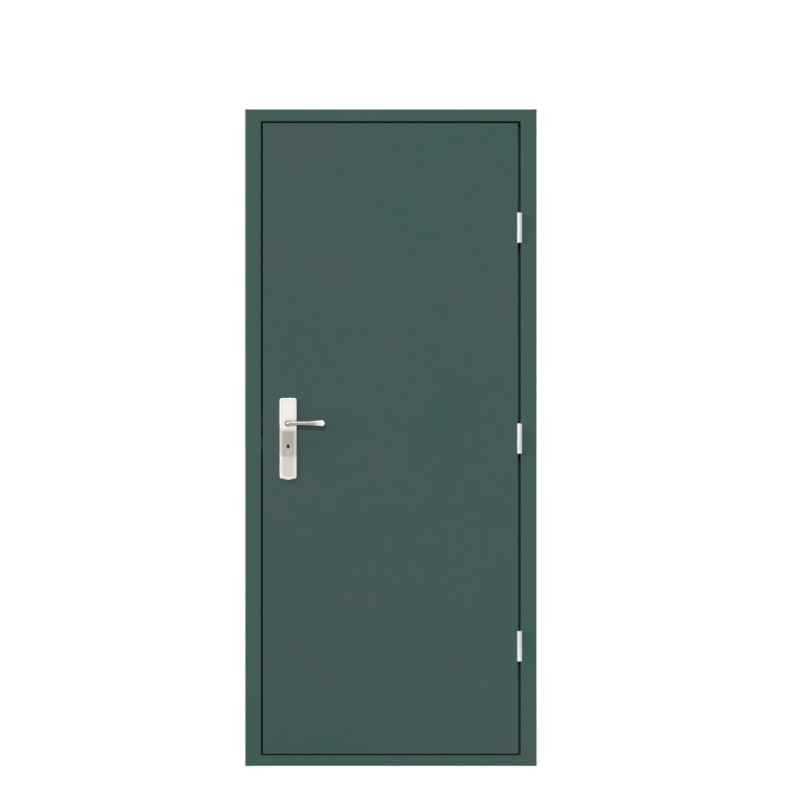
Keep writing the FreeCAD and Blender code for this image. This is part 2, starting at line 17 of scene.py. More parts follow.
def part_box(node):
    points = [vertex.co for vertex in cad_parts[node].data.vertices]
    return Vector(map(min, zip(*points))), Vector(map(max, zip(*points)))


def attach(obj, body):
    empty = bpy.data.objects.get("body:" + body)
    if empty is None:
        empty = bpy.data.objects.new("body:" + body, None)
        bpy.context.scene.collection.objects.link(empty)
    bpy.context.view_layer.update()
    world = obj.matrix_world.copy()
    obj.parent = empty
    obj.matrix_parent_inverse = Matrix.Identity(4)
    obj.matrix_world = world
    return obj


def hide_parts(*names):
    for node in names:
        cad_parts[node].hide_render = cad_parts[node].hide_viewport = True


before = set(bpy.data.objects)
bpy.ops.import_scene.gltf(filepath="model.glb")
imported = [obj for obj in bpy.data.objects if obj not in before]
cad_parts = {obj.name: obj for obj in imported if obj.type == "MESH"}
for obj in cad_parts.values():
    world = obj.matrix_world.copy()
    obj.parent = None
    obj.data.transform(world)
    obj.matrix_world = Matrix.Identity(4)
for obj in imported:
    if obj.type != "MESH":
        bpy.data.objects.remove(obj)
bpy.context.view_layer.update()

MM = 0.001
TINY = 1e-6
SQUARE_ANGLE = math.radians(60.0)
LOG = logging.getLogger("door")

Point2 = tuple[float, float]
Points = Sequence[Vector]


class Body(Enum):
    """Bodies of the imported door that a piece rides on."""

    FRAME = "frame"
    LEAF = "leaf"
    HANDLE = "handle"


class Slot(Enum):
    """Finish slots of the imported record."""

    LEAF_PAINT = "leaf_paint"
    FRAME_PAINT = "frame_paint"
    HANDLE_STEEL = "handle_steel"
    HINGE_STEEL = "hinge_steel"
    LOCK_STEEL = "lock_steel"
    ZINC_STEEL = "zinc_steel"
    CYLINDER_BRASS = "cylinder_brass"
    SEAL_RUBBER = "seal_rubber"


class Side(Enum):
    """Faces of the leaf, by the way they point along Y."""

    FRONT = -1
    BACK = 1

    @property
    def word(self) -> str:
        """The side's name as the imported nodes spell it."""
        return self.name.lower()

    def of(self, low: Vector, high: Vector) -> float:
        """Give Y of this side of a box between two corners."""
        return low.y if self is Side.FRONT else high.y


class Recess(Enum):
    """Drive shapes in a screw head."""

    CROSS = "cross"
    HEX = "hex"


class MixSocket(IntEnum):
    """Numbers of a mix node's inputs, because several of them share a name."""

    FACTOR = 0
    FIRST_VALUE = 2
    SECOND_VALUE = 3
    FIRST_COLOUR = 6
    SECOND_COLOUR = 7


class MixResult(IntEnum):
    """Numbers of a mix node's outputs, which all share one name."""

    VALUE = 0
    COLOUR = 2


# Finishes

def linear_rgba(code: str) -> tuple[float, float, float, float]:
    """Turn an sRGB hex value into a linear colour.

    Args:
        code: six hex digits after a hash sign.

    Returns:
        Linear red, green and blue, and an alpha of 1.
    """
    channels = []
    for start in (1, 3, 5):
        value = int(code[start:start + 2], 16) / 255
        channels.append(value / 12.92 if value <= 0.04045 else ((value + 0.055) / 1.055) ** 2.4)
    return (channels[0], channels[1], channels[2], 1.0)


def per_metre(size_mm: float) -> float:
    """Give the texture scale whose features are this many millimetres wide."""
    return 1.0 / (size_mm * MM)


def add_node(tree: NodeTree, kind: str, settings: dict | None = None,
             inputs: dict | None = None, links: dict | None = None) -> Node:
    """Add a node with its settings, input values and links.

    Args:
        tree: node tree that takes the node.
        kind: type name of the node.
        settings: values for the node's own properties.
        inputs: values for input sockets, by name or number.
        links: output sockets that feed input sockets, by name or number.

    Returns:
        The new node.
    """
    node = tree.nodes.new(kind)
    for name, value in (settings or {}).items():
        setattr(node, name, value)
    for name, value in (inputs or {}).items():
        node.inputs[name].default_value = value
    for name, source in (links or {}).items():
        tree.links.new(source, node.inputs[name])
    return node


def relief(tree: NodeTree, pattern: NodeSocket, roughness: Point2, depth_mm: float) -> dict[str, NodeSocket]:
    """Let a pattern change a surface's gloss and raise it.

    Args:
        tree: node tree that takes the nodes.
        pattern: socket with the pattern's height from 0 to 1.
        roughness: roughness in the middle of the pattern, and how far it swings.
        depth_mm: real height of the pattern.

    Returns:
        The links for a shader's roughness and normal.
    """
    middle, swing = roughness
    gloss = add_node(tree, "ShaderNodeMapRange", inputs={"To Min": middle - swing, "To Max": middle + swing},
                     links={"Value": pattern})
    bump = add_node(tree, "ShaderNodeBump", inputs={"Distance": depth_mm * MM}, links={"Height": pattern})
    return {"Roughness": gloss.outputs["Result"], "Normal": bump.outputs["Normal"]}


def seen(tree: NodeTree) -> NodeSocket:
    """Give a socket that is 1 for what the camera, metal and glass see and 0 for other light.

    Args:
        tree: node tree that takes the nodes.

    Returns:
        The socket.
    """
    path = add_node(tree, "ShaderNodeLightPath")
    total = path.outputs["Is Camera Ray"]
    for name in ("Is Glossy Ray", "Is Transmission Ray"):
        total = add_node(tree, "ShaderNodeMath", {"operation": "MAXIMUM"},
                         links={0: total, 1: path.outputs[name]}).outputs[0]
    return total


@dataclass(frozen=True)
class Finish:
    """A finish with a node material of its own."""

    name: str

    def build(self) -> Material:
        """Build the node material.

        Returns:
            The material, with this finish's shader on its surface.
        """
        material = bpy.data.materials.new(self.name)
        material.use_nodes = True
        tree = material.node_tree
        tree.nodes.clear()
        add_node(tree, "ShaderNodeOutputMaterial", links={"Surface": self.shader(tree)})
        return material

    def shader(self, tree: NodeTree) -> NodeSocket:
        """Add this finish's shader to a node tree and give its output."""
        raise NotImplementedError


@dataclass(frozen=True)
class PowderCoat(Finish):
    """Polyester powder baked on galvanised sheet.

    The eye sees a matt grey-green skin with soft patches where the film is thicker or thinner, and a
    faint orange peel that breaks up the highlights along the folds.
    """

    colour: str
    thin_colour: str
    patch_mm: float = 38.0
    cloud_mm: float = 260.0
    # Real peel is 1 to 2 mm across, finer than the picture can show, so it is drawn coarser
    peel_mm: float = 4.0
    peel_depth_mm: float = 0.05
    film_range: Point2 = (0.36, 0.64)
    roughness: Point2 = (0.55, 0.08)
    ior: float = 1.5
    specular: float = 0.2

    def shader(self, tree: NodeTree) -> NodeSocket:
        """Add the paint's shader.

        Args:
            tree: node tree that takes the shader.

        Returns:
            The shader's output.
        """
        place = add_node(tree, "ShaderNodeTexCoord").outputs["Object"]
        cloud, patch, peel = (
            add_node(tree, "ShaderNodeTexNoise", inputs={"Scale": per_metre(size), "Detail": detail},
                     links={"Vector": place}).outputs["Fac"]
            for size, detail in ((self.cloud_mm, 2.0), (self.patch_mm, 3.0), (self.peel_mm, 2.0)))
        film = add_node(tree, "ShaderNodeMix", {"data_type": "FLOAT"}, {MixSocket.FACTOR: 0.5},
                        {MixSocket.FIRST_VALUE: cloud, MixSocket.SECOND_VALUE: patch})
        spread = add_node(tree, "ShaderNodeMapRange", {"interpolation_type": "SMOOTHSTEP"},
                          {"From Min": self.film_range[0], "From Max": self.film_range[1]},
                          {"Value": film.outputs[MixResult.VALUE]})
        colour = add_node(tree, "ShaderNodeMix", {"data_type": "RGBA"},
                          {MixSocket.FIRST_COLOUR: linear_rgba(self.colour),
                           MixSocket.SECOND_COLOUR: linear_rgba(self.thin_colour)},
                          {MixSocket.FACTOR: spread.outputs["Result"]})
        surface = relief(tree, peel, self.roughness, self.peel_depth_mm)
        shader = add_node(tree, "ShaderNodeBsdfPrincipled",
                          inputs={"IOR": self.ior, "Specular IOR Level": self.specular},
                          links={"Base Color": colour.outputs[MixResult.COLOUR], **surface})
        return shader.outputs["BSDF"]


@dataclass(frozen=True)
class MetalFinish(Finish):
    """A bare or plated metal with long grinding lines or soft clouds.

    The eye sees the pale room in it, broken by lines along the grinding or by the plating's clouds.
    """

    colour: str
    roughness: float
    # Width of a line or cloud across X, Y and Z; real grinding lines of 0.1 mm are drawn coarser to show
    grain_mm: tuple[float, float, float]
    grain_dark: float = 0.82
    grain_depth_mm: float = 0.01
    roughness_swing: float = 0.05
    grain_range: Point2 = (0.3, 0.7)

    def tint(self, tree: NodeTree, place: NodeSocket) -> NodeSocket | None:
        """Give no socket, because a plain metal has one colour all over."""
        return None

    def shader(self, tree: NodeTree) -> NodeSocket:
        """Add the metal's shader.

        Args:
            tree: node tree that takes the shader.

        Returns:
            The shader's output.
        """
        place = add_node(tree, "ShaderNodeTexCoord").outputs["Object"]
        stretch = add_node(tree, "ShaderNodeMapping",
                           inputs={"Scale": [per_metre(size) for size in self.grain_mm]},
                           links={"Vector": place})
        grain = add_node(tree, "ShaderNodeTexNoise", inputs={"Scale": 1.0, "Detail": 3.0},
                         links={"Vector": stretch.outputs["Vector"]}).outputs["Fac"]
        line = add_node(tree, "ShaderNodeMapRange",
                        inputs={"From Min": self.grain_range[0], "From Max": self.grain_range[1],
                                "To Min": self.grain_dark, "To Max": 1.0},
                        links={"Value": grain})
        tint = self.tint(tree, place)
        colour = add_node(tree, "ShaderNodeMix", {"data_type": "RGBA", "blend_type": "MULTIPLY"},
                          {MixSocket.FACTOR: 1.0, MixSocket.FIRST_COLOUR: linear_rgba(self.colour)},
                          {MixSocket.SECOND_COLOUR: line.outputs["Result"]}
                          | ({MixSocket.FIRST_COLOUR: tint} if tint else {}))
        surface = relief(tree, grain, (self.roughness, self.roughness_swing), self.grain_depth_mm)
        shader = add_node(tree, "ShaderNodeBsdfPrincipled", inputs={"Metallic": 1.0},
                          links={"Base Color": colour.outputs[MixResult.COLOUR], **surface})
        return shader.outputs["BSDF"]


@dataclass(frozen=True, kw_only=True)
class FieldFinish(MetalFinish):
    """A metal with a different tone in each field along an axis, which paints light and shade by place.

    The eye sees the same grinding run on through fields painted darker as shade or brighter as highlight.
    The plain colour is that of the lowest field, and each level starts the next tone.
    """

    axis: str
    tones: tuple[str, ...]
    levels: tuple[float, ...]
    edge_mm: float

    def tint(self, tree: NodeTree, place: NodeSocket) -> NodeSocket | None:
        """Add the nodes that paint light and shade from field to field.

        Args:
            tree: node tree that takes the nodes.
            place: socket with the place on the object.

        Returns:
            The socket with the tone.
        """
        along = add_node(tree, "ShaderNodeSeparateXYZ", links={"Vector": place}).outputs[self.axis]
        tint: NodeSocket | None = None
        for level, (below, above) in zip(self.levels, pairwise((self.colour, *self.tones))):
            step = add_node(tree, "ShaderNodeMapRange", {"interpolation_type": "SMOOTHSTEP"},
                            {"From Min": level - self.edge_mm * MM, "From Max": level + self.edge_mm * MM},
                            {"Value": along})
            mix = add_node(tree, "ShaderNodeMix", {"data_type": "RGBA"},
                           {MixSocket.FIRST_COLOUR: linear_rgba(below),
                            MixSocket.SECOND_COLOUR: linear_rgba(above)},
                           {MixSocket.FACTOR: step.outputs["Result"]}
                           | ({MixSocket.FIRST_COLOUR: tint} if tint else {}))
            tint = mix.outputs[MixResult.COLOUR]
        return tint


@dataclass(frozen=True)
class SealRubber(Finish):
    """Extruded EPDM rubber: near black and matt, with a dusty bloom in faint clouds."""

    colour: str
    bloom_colour: str
    bloom_mm: float = 25.0
    roughness: float = 0.72
    ior: float = 1.5

    def shader(self, tree: NodeTree) -> NodeSocket:
        """Add the rubber's shader.

        Args:
            tree: node tree that takes the shader.

        Returns:
            The shader's output.
        """
        place = add_node(tree, "ShaderNodeTexCoord").outputs["Object"]
        bloom = add_node(tree, "ShaderNodeTexNoise",
                         inputs={"Scale": per_metre(self.bloom_mm), "Detail": 4.0}, links={"Vector": place})
        colour = add_node(tree, "ShaderNodeMix", {"data_type": "RGBA"},
                          {MixSocket.FIRST_COLOUR: linear_rgba(self.colour),
                           MixSocket.SECOND_COLOUR: linear_rgba(self.bloom_colour)},
                          {MixSocket.FACTOR: bloom.outputs["Fac"]})
        shader = add_node(tree, "ShaderNodeBsdfPrincipled",
                          inputs={"Roughness": self.roughness, "IOR": self.ior},
                          links={"Base Color": colour.outputs[MixResult.COLOUR]})
        return shader.outputs["BSDF"]


@dataclass(frozen=True)
class PaleFloor(Finish):
    """Matt pale board that the camera and metal see lifted to white, with its shadows kept."""

    colour: str
    lift: float

    def shader(self, tree: NodeTree) -> NodeSocket:
        """Add the floor's shader.

        Args:
            tree: node tree that takes the shader.

        Returns:
            The shader's output.
        """
        matt = add_node(tree, "ShaderNodeBsdfDiffuse", inputs={"Color": linear_rgba(self.colour)})
        lift = add_node(tree, "ShaderNodeMapRange", inputs={"To Min": 0.0, "To Max": self.lift},
                        links={"Value": seen(tree)})
        glow = add_node(tree, "ShaderNodeEmission", links={"Strength": lift.outputs["Result"]})
        both = add_node(tree, "ShaderNodeAddShader", links={0: matt.outputs[0], 1: glow.outputs[0]})
        return both.outputs[0]


# Mesh tools

def square(edge: BMEdge) -> bool:
    """Tell whether an edge's two faces meet as squarely as at a cut corner."""
    return edge.is_manifold and edge.calc_face_angle() > SQUARE_ANGLE


def level(edge: BMEdge) -> bool:
    """Tell whether both ends of an edge lie at one height."""
    return edge.verts[0].co.z == edge.verts[1].co.z


class Shell:
    """A mesh put together from rings of points."""

    def __init__(self) -> None:
        """Start with an empty mesh."""
        self.mesh = bmesh.new()

    def ring(self, points: Iterable[Vector]) -> list[BMVert]:
        """Add points and return them as a ring."""
        return [self.mesh.verts.new(point) for point in points]

    def cap(self, ring: Sequence[BMVert], finish: int = 0) -> None:
        """Close a ring with one face that has a numbered material."""
        self.mesh.faces.new(ring).material_index = finish

    def band(self, first: list[BMVert], second: list[BMVert], closed: bool = True, finish: int = 0) -> None:
        """Join two rings of as many points with four-sided faces.

        Args:
            first: ring on one side.
            second: ring on the other side.
            closed: whether the last point joins the first.
            finish: number of the material on the faces.
        """
        count = len(first)
        for here in range(count if closed else count - 1):
            after = (here + 1) % count
            self.cap((first[here], first[after], second[after], second[here]), finish)

    def loft(self, sections: Sequence[Points], finishes: Sequence[int] = (), looped: bool = False) -> "Shell":
        """Join sections in order and close both ends, or join the last to the first.

        Args:
            sections: rings of points, each with as many points.
            finishes: number of the material on each band and then on the last cap; 0 where it runs out.
            looped: whether the last section joins the first.

        Returns:
            This shell.
        """
        rings = [self.ring(section) for section in sections]
        indices = list(finishes) + [0] * (len(rings) - len(finishes))
        for (first, second), finish in zip(pairwise(rings), indices):
            self.band(first, second, finish=finish)
        if looped:
            self.band(rings[-1], rings[0])
            return self
        self.cap(rings[0])
        self.cap(rings[-1], indices[len(rings) - 1])
        return self

    def soften(self, width: float, steps: int = 2, test: Callable[[BMEdge], bool] = square) -> "Shell":
        """Round the edges that pass a test.

        Args:
            width: how far the rounding reaches from the edge.
            steps: number of faces across the rounding.
            test: tells which edges are rounded.

        Returns:
            This shell.
        """
        edges = [edge for edge in self.mesh.edges if test(edge)]
        bmesh.ops.bevel(self.mesh, geom=edges, offset=width, segments=steps, affect="EDGES", profile=0.5)
        return self

    def make(self, name: str, *materials: Material) -> Object:
        """Turn the mesh into an object in the scene.

        Args:
            name: name of the object.
            materials: materials by number, where they aren't those of its slot.

        Returns:
            The new object.
        """
        bmesh.ops.recalc_face_normals(self.mesh, faces=self.mesh.faces[:])
        data = bpy.data.meshes.new(name)
        for material in materials:
            data.materials.append(material)
        self.mesh.to_mesh(data)
        self.mesh.free()
        made = bpy.data.objects.new(name, data)
        bpy.context.scene.collection.objects.link(made)
        return made


def upright(points: Iterable[Point2], y: float) -> list[Vector]:
    """Give (x, z) points as places at one depth."""
    return [Vector((x, y, z)) for x, z in points]


def flat(points: Iterable[Point2], z: float) -> list[Vector]:
    """Give (x, y) points as places at one height."""
    return [Vector((x, y, z)) for x, y in points]


def prism(outline: Points, run: Vector) -> Shell:
    """Draw an outline out along a line into a closed shell."""
    return Shell().loft([outline, [point + run for point in outline]])


def block(low: Vector, high: Vector) -> Shell:
    """Make a box shell between two corners."""
    corners = [(low.x, low.y), (high.x, low.y), (high.x, high.y), (low.x, high.y)]
    return prism(flat(corners, low.z), Vector((0, 0, high.z - low.z)))


def shares(count: int) -> list[float]:
    """Give the shares from 0 to 1 in a number of even steps."""
    return [step / count for step in range(count + 1)]


def arc(centre: Point2, radii: Point2, start: float, turn: float, count: int) -> list[Point2]:
    """Give points along an arc of a circle or an ellipse, with both ends.

    Args:
        centre: middle of the arc.
        radii: reach of the whole ellipse along the first and the second axis.
        start: angle of the first point in radians.
        turn: angle that the arc turns through, to the left where it is positive.
        count: number of steps along it.

    Returns:
        The points in order.
    """
    (x, y), (wide, tall) = centre, radii
    angles = [start + turn * share for share in shares(count)]
    return [(x + wide * math.cos(angle), y + tall * math.sin(angle)) for angle in angles]


def ellipse(centre: Point2, radii: Point2, count: int) -> list[Point2]:
    """Give a number of points round a circle or an ellipse, turning left."""
    return arc(centre, radii, 0.0, math.tau, count)[:-1]


def carve(piece: Object, cutters: Sequence[Shell]) -> Object:
    """Cut closed shells out of a piece.

    Args:
        piece: closed mesh object that is cut.
        cutters: shells that are taken away.

    Returns:
        The same object with its cut mesh.
    """
    tools = [shell.make(f"{piece.name}_cutter_{number}") for number, shell in enumerate(cutters)]
    for tool in tools:
        cut = piece.modifiers.new(tool.name, "BOOLEAN")
        cut.object = tool
        cut.operation = "DIFFERENCE"
        cut.solver = "EXACT"
    graph = bpy.context.evaluated_depsgraph_get()
    whole = piece.data
    piece.data = bpy.data.meshes.new_from_object(piece.evaluated_get(graph))
    piece.data.name = whole.name
    piece.modifiers.clear()
    bpy.data.meshes.remove(whole)
    for tool in tools:
        bpy.data.meshes.remove(tool.data)
    return piece


def smooth(share: float) -> float:
    """Ease a share from 0 to 1 with level ends, and hold it beyond them."""
    held = min(max(share, 0.0), 1.0)
    return held * held * (3 - 2 * held)


def between(start: Point2, end: Point2, share: float) -> Point2:
    """Give the pair of sizes that lies a share of the way from one pair to another."""
    return start[0] + (end[0] - start[0]) * share, start[1] + (end[1] - start[1]) * share


def middle_of(node: str) -> Vector:
    """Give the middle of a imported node's box."""
    low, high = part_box(node)
    return (low + high) / 2


@dataclass
class Workshop:
    """Dresses finished meshes and fits them to the door's bodies."""

    finishes: dict[Slot, Material]
    sharp_angle: float = 40.0

    def fit(self, piece: Object, body: Body, slot: Slot, stands_for: Sequence[str] = ()) -> None:
        """Dress a modelled piece and make it ride on its body.

        Args:
            piece: mesh object in its place.
            body: body that it moves with.
            slot: finish slot of the record.
            stands_for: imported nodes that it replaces.
        """
        if not piece.data.materials:
            piece.data.materials.append(self.finishes[slot])
        piece.data.polygons.foreach_set("use_smooth", [True] * len(piece.data.polygons))
        piece.data.set_sharp_from_angle(angle=math.radians(self.sharp_angle))
        weigh = piece.modifiers.new("flat faces", "WEIGHTED_NORMAL")
        weigh.keep_sharp = True
        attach(piece, body.value)
        if stands_for:
            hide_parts(*stands_for)
        LOG.info("%s on %s in %s", piece.name, body.value, slot.value)

    def keep(self, node: str, slot: Slot) -> None:
        """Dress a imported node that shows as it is.

        Args:
            node: name of the node.
            slot: finish slot of the record.
        """
        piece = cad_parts[node]
        piece.data.materials.clear()
        piece.data.materials.append(self.finishes[slot])
        LOG.info("%s kept in %s", node, slot.value)


@dataclass(frozen=True)
class Screw:
    """A countersunk screw head with a raised rim and a driven recess."""

    radius: float = 4.0 * MM
    rise: float = 0.25 * MM
    depth: float = 2.0 * MM
    round: float = 0.5 * MM
    round_slope: float = 1 / 3
    recess_reach: float = 2.3 * MM
    recess_half: float = 0.55 * MM
    recess_depth: float = 1.5 * MM
    recess_taper: float = 0.8
    recess: Recess = Recess.CROSS
    count: int = 48

    def recess_radius(self, angle: float) -> float:
        """Give how far the recess reaches from the middle.

        Args:
            angle: angle round the head in radians.

        Returns:
            The reach of the cross or the hexagon there.
        """
        if self.recess is Recess.HEX:
            sector = math.tau / 6
            return self.recess_reach * math.cos(sector / 2) / math.cos(angle % sector - sector / 2)
        across = min(abs(math.cos(angle)), abs(math.sin(angle)))
        return min(self.recess_reach, self.recess_half / max(across, TINY))

    def heads(self, seats: Iterable[Vector], out: Vector) -> Shell:
        """Make the heads of a group of screws.

        Args:
            seats: middle of each hole in its face.
            out: way that the heads point.

        Returns:
            One shell with all the heads.
        """
        turn = out.to_track_quat("Z", "X").to_matrix()
        angles = [math.tau * share for share in shares(self.count)[:-1]]
        recess = [self.recess_radius(angle) for angle in angles]
        levels = (
            ([self.recess_half] * self.count, -self.depth),
            ([self.radius] * self.count, 0.0),
            ([self.radius] * self.count, self.rise - self.round * self.round_slope),
            ([self.radius - self.round] * self.count, self.rise),
            (recess, self.rise),
            ([self.recess_taper * reach for reach in recess], self.rise - self.recess_depth),
        )
        rings = [
            [turn @ Vector((reach * math.cos(angle), reach * math.sin(angle), height))
             for reach, angle in zip(reaches, angles)]
            for reaches, height in levels]
        shell = Shell()
        for seat in seats:
            shell.loft([[seat + spot for spot in ring] for ring in rings])
        return shell


# The door

@dataclass(frozen=True)
class Layout:
    """Planes and axes of the door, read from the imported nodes, in metres.

    The frame's outer faces, its rebates and the edges of its stop stand at outer, inner and soffit to
    each side of the middle.
    """

    outer: float
    height: float
    front: float
    back: float
    inner: float
    soffit: float
    sheet: float
    stop_face: float
    head_stop: float
    threshold_stop: float
    leaf_low: Vector
    leaf_high: Vector
    spindle: Vector
    key: Vector

    @classmethod
    def read(cls) -> "Layout":
        """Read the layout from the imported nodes.

        Returns:
            The door's planes and axes.
        """
        jamb_low, jamb_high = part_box("frame_right_jamb")
        strike_low, strike_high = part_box("strike_plate")
        leaf_low, leaf_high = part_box("leaf_front_skin")
        return cls(
            outer=jamb_high.x,
            height=jamb_high.z,
            front=jamb_low.y,
            back=jamb_high.y,
            inner=-strike_high.x,
            soffit=jamb_low.x,
            sheet=strike_high.x - strike_low.x,
            stop_face=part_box("head_seal")[1].y,
            head_stop=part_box("frame_head")[0].z,
            threshold_stop=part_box("frame_threshold")[1].z,
            leaf_low=leaf_low,
            leaf_high=leaf_high,
            spindle=middle_of("spindle"),
            key=middle_of("front_key_plug"),
        )

    @property
    def depth(self) -> float:
        """Depth of the frame from its front face to its back face."""
        return self.back - self.front

    @property
    def core(self) -> float:
        """Y of the middle of the leaf's thickness."""
        return (self.leaf_low.y + self.leaf_high.y) / 2

    @property
    def stop_width(self) -> float:
        """Width of the stop that the leaf closes against."""
        return self.inner - self.soffit

    @property
    def jamb_face(self) -> float:
        """Width of a jamb's front face."""
        return self.outer - self.inner

    @property
    def head_face(self) -> float:
        """Height of the head's front face."""
        return self.height - self.head_stop - self.stop_width

    @property
    def threshold_face(self) -> float:
        """Height of the threshold's front face."""
        return self.threshold_stop - self.stop_width


@dataclass
class SubAssembly:
    """A group of the door's pieces: the planes it stands on, and the workshop that dresses and fits it."""

    layout: Layout
    shop: Workshop


@dataclass(frozen=True)
class FoldedProfile:
    """The section of a sheet folded square, as (inward, depth) points with the sheet on their left."""

    corners: tuple[Point2, ...]
    straight: frozenset[Point2]
    sheet: float
    bend: float
    steps: int = 6

    @staticmethod
    def left_of(start: Vector, end: Vector) -> Vector:
        """Give the way to the left of a run."""
        run = (end - start).normalized()
        return Vector((-run.y, run.x))

    def far_corners(self, near: list[Vector]) -> list[Vector]:
        """Give the corners of the sheet's other side.

        Args:
            near: corners of this side.

        Returns:
            The corners one sheet away on the left.
        """
        ways = [self.left_of(first, second) for first, second in pairwise(near)]
        moved = []
        for number, corner in enumerate(near):
            before = ways[max(number - 1, 0)]
            after = ways[min(number, len(ways) - 1)]
            moved.append(corner + (before + after) * self.sheet / (1 + before.dot(after)))
        return moved

    def rounded(self, line: list[Vector], radii: Sequence[float]) -> list[Point2]:
        """Give a line with its corners rounded to their radii.

        Args:
            line: corners of the line.
            radii: radius at each corner; 0 keeps the point.

        Returns:
            The points, with a full turn of steps at each bend.
        """
        points = []
        for number, (corner, radius) in enumerate(zip(line, radii)):
            if not radius:
                points.append(tuple(corner))
                continue
            enter = corner + (line[number - 1] - corner).normalized() * radius
            leave = corner + (line[number + 1] - corner).normalized() * radius
            centre = enter + leave - corner
            for share in shares(self.steps):
                angle = math.pi / 2 * share
                spot = centre + (enter - centre) * math.cos(angle) + (leave - centre) * math.sin(angle)
                points.append(tuple(spot))
        return points

    def sides(self) -> tuple[list[Point2], list[Point2]]:
        """Give both sides of the sheet.

        Returns:
            Two lines of as many points.
        """
        near = [Vector(corner) for corner in self.corners]
        bends = (self.bend + self.sheet, self.bend)
        radii = []
        for number, corner in enumerate(near):
            if number in (0, len(near) - 1) or self.corners[number] in self.straight:
                radii.append((0.0, 0.0))
                continue
            outside = self.left_of(near[number - 1], corner).dot(near[number + 1] - corner) > 0
            radii.append(bends if outside else bends[::-1])
        near_radii, far_radii = zip(*radii)
        return self.rounded(near, near_radii), self.rounded(self.far_corners(near), far_radii)

    def sweep(self, start: Callable[[float, float], Vector], end: Callable[[float, float], Vector]) -> Shell:
        """Draw the section out between two ends.

        Args:
            start: gives the place of a section point at one end.
            end: gives its place at the other end.

        Returns:
            The closed shell of the folded sheet.
        """
        shell = Shell()
        near_start, near_end, far_start, far_end = (
            shell.ring([place(*point) for point in line]) for line in self.sides() for place in (start, end))
        loops = [near_start, near_end, far_end, far_start]
        for first, second in zip(loops, loops[1:] + loops[:1]):
            shell.band(first, second, closed=False)
        shell.cap([ring[0] for ring in loops])
        shell.cap([ring[-1] for ring in loops])
        return shell


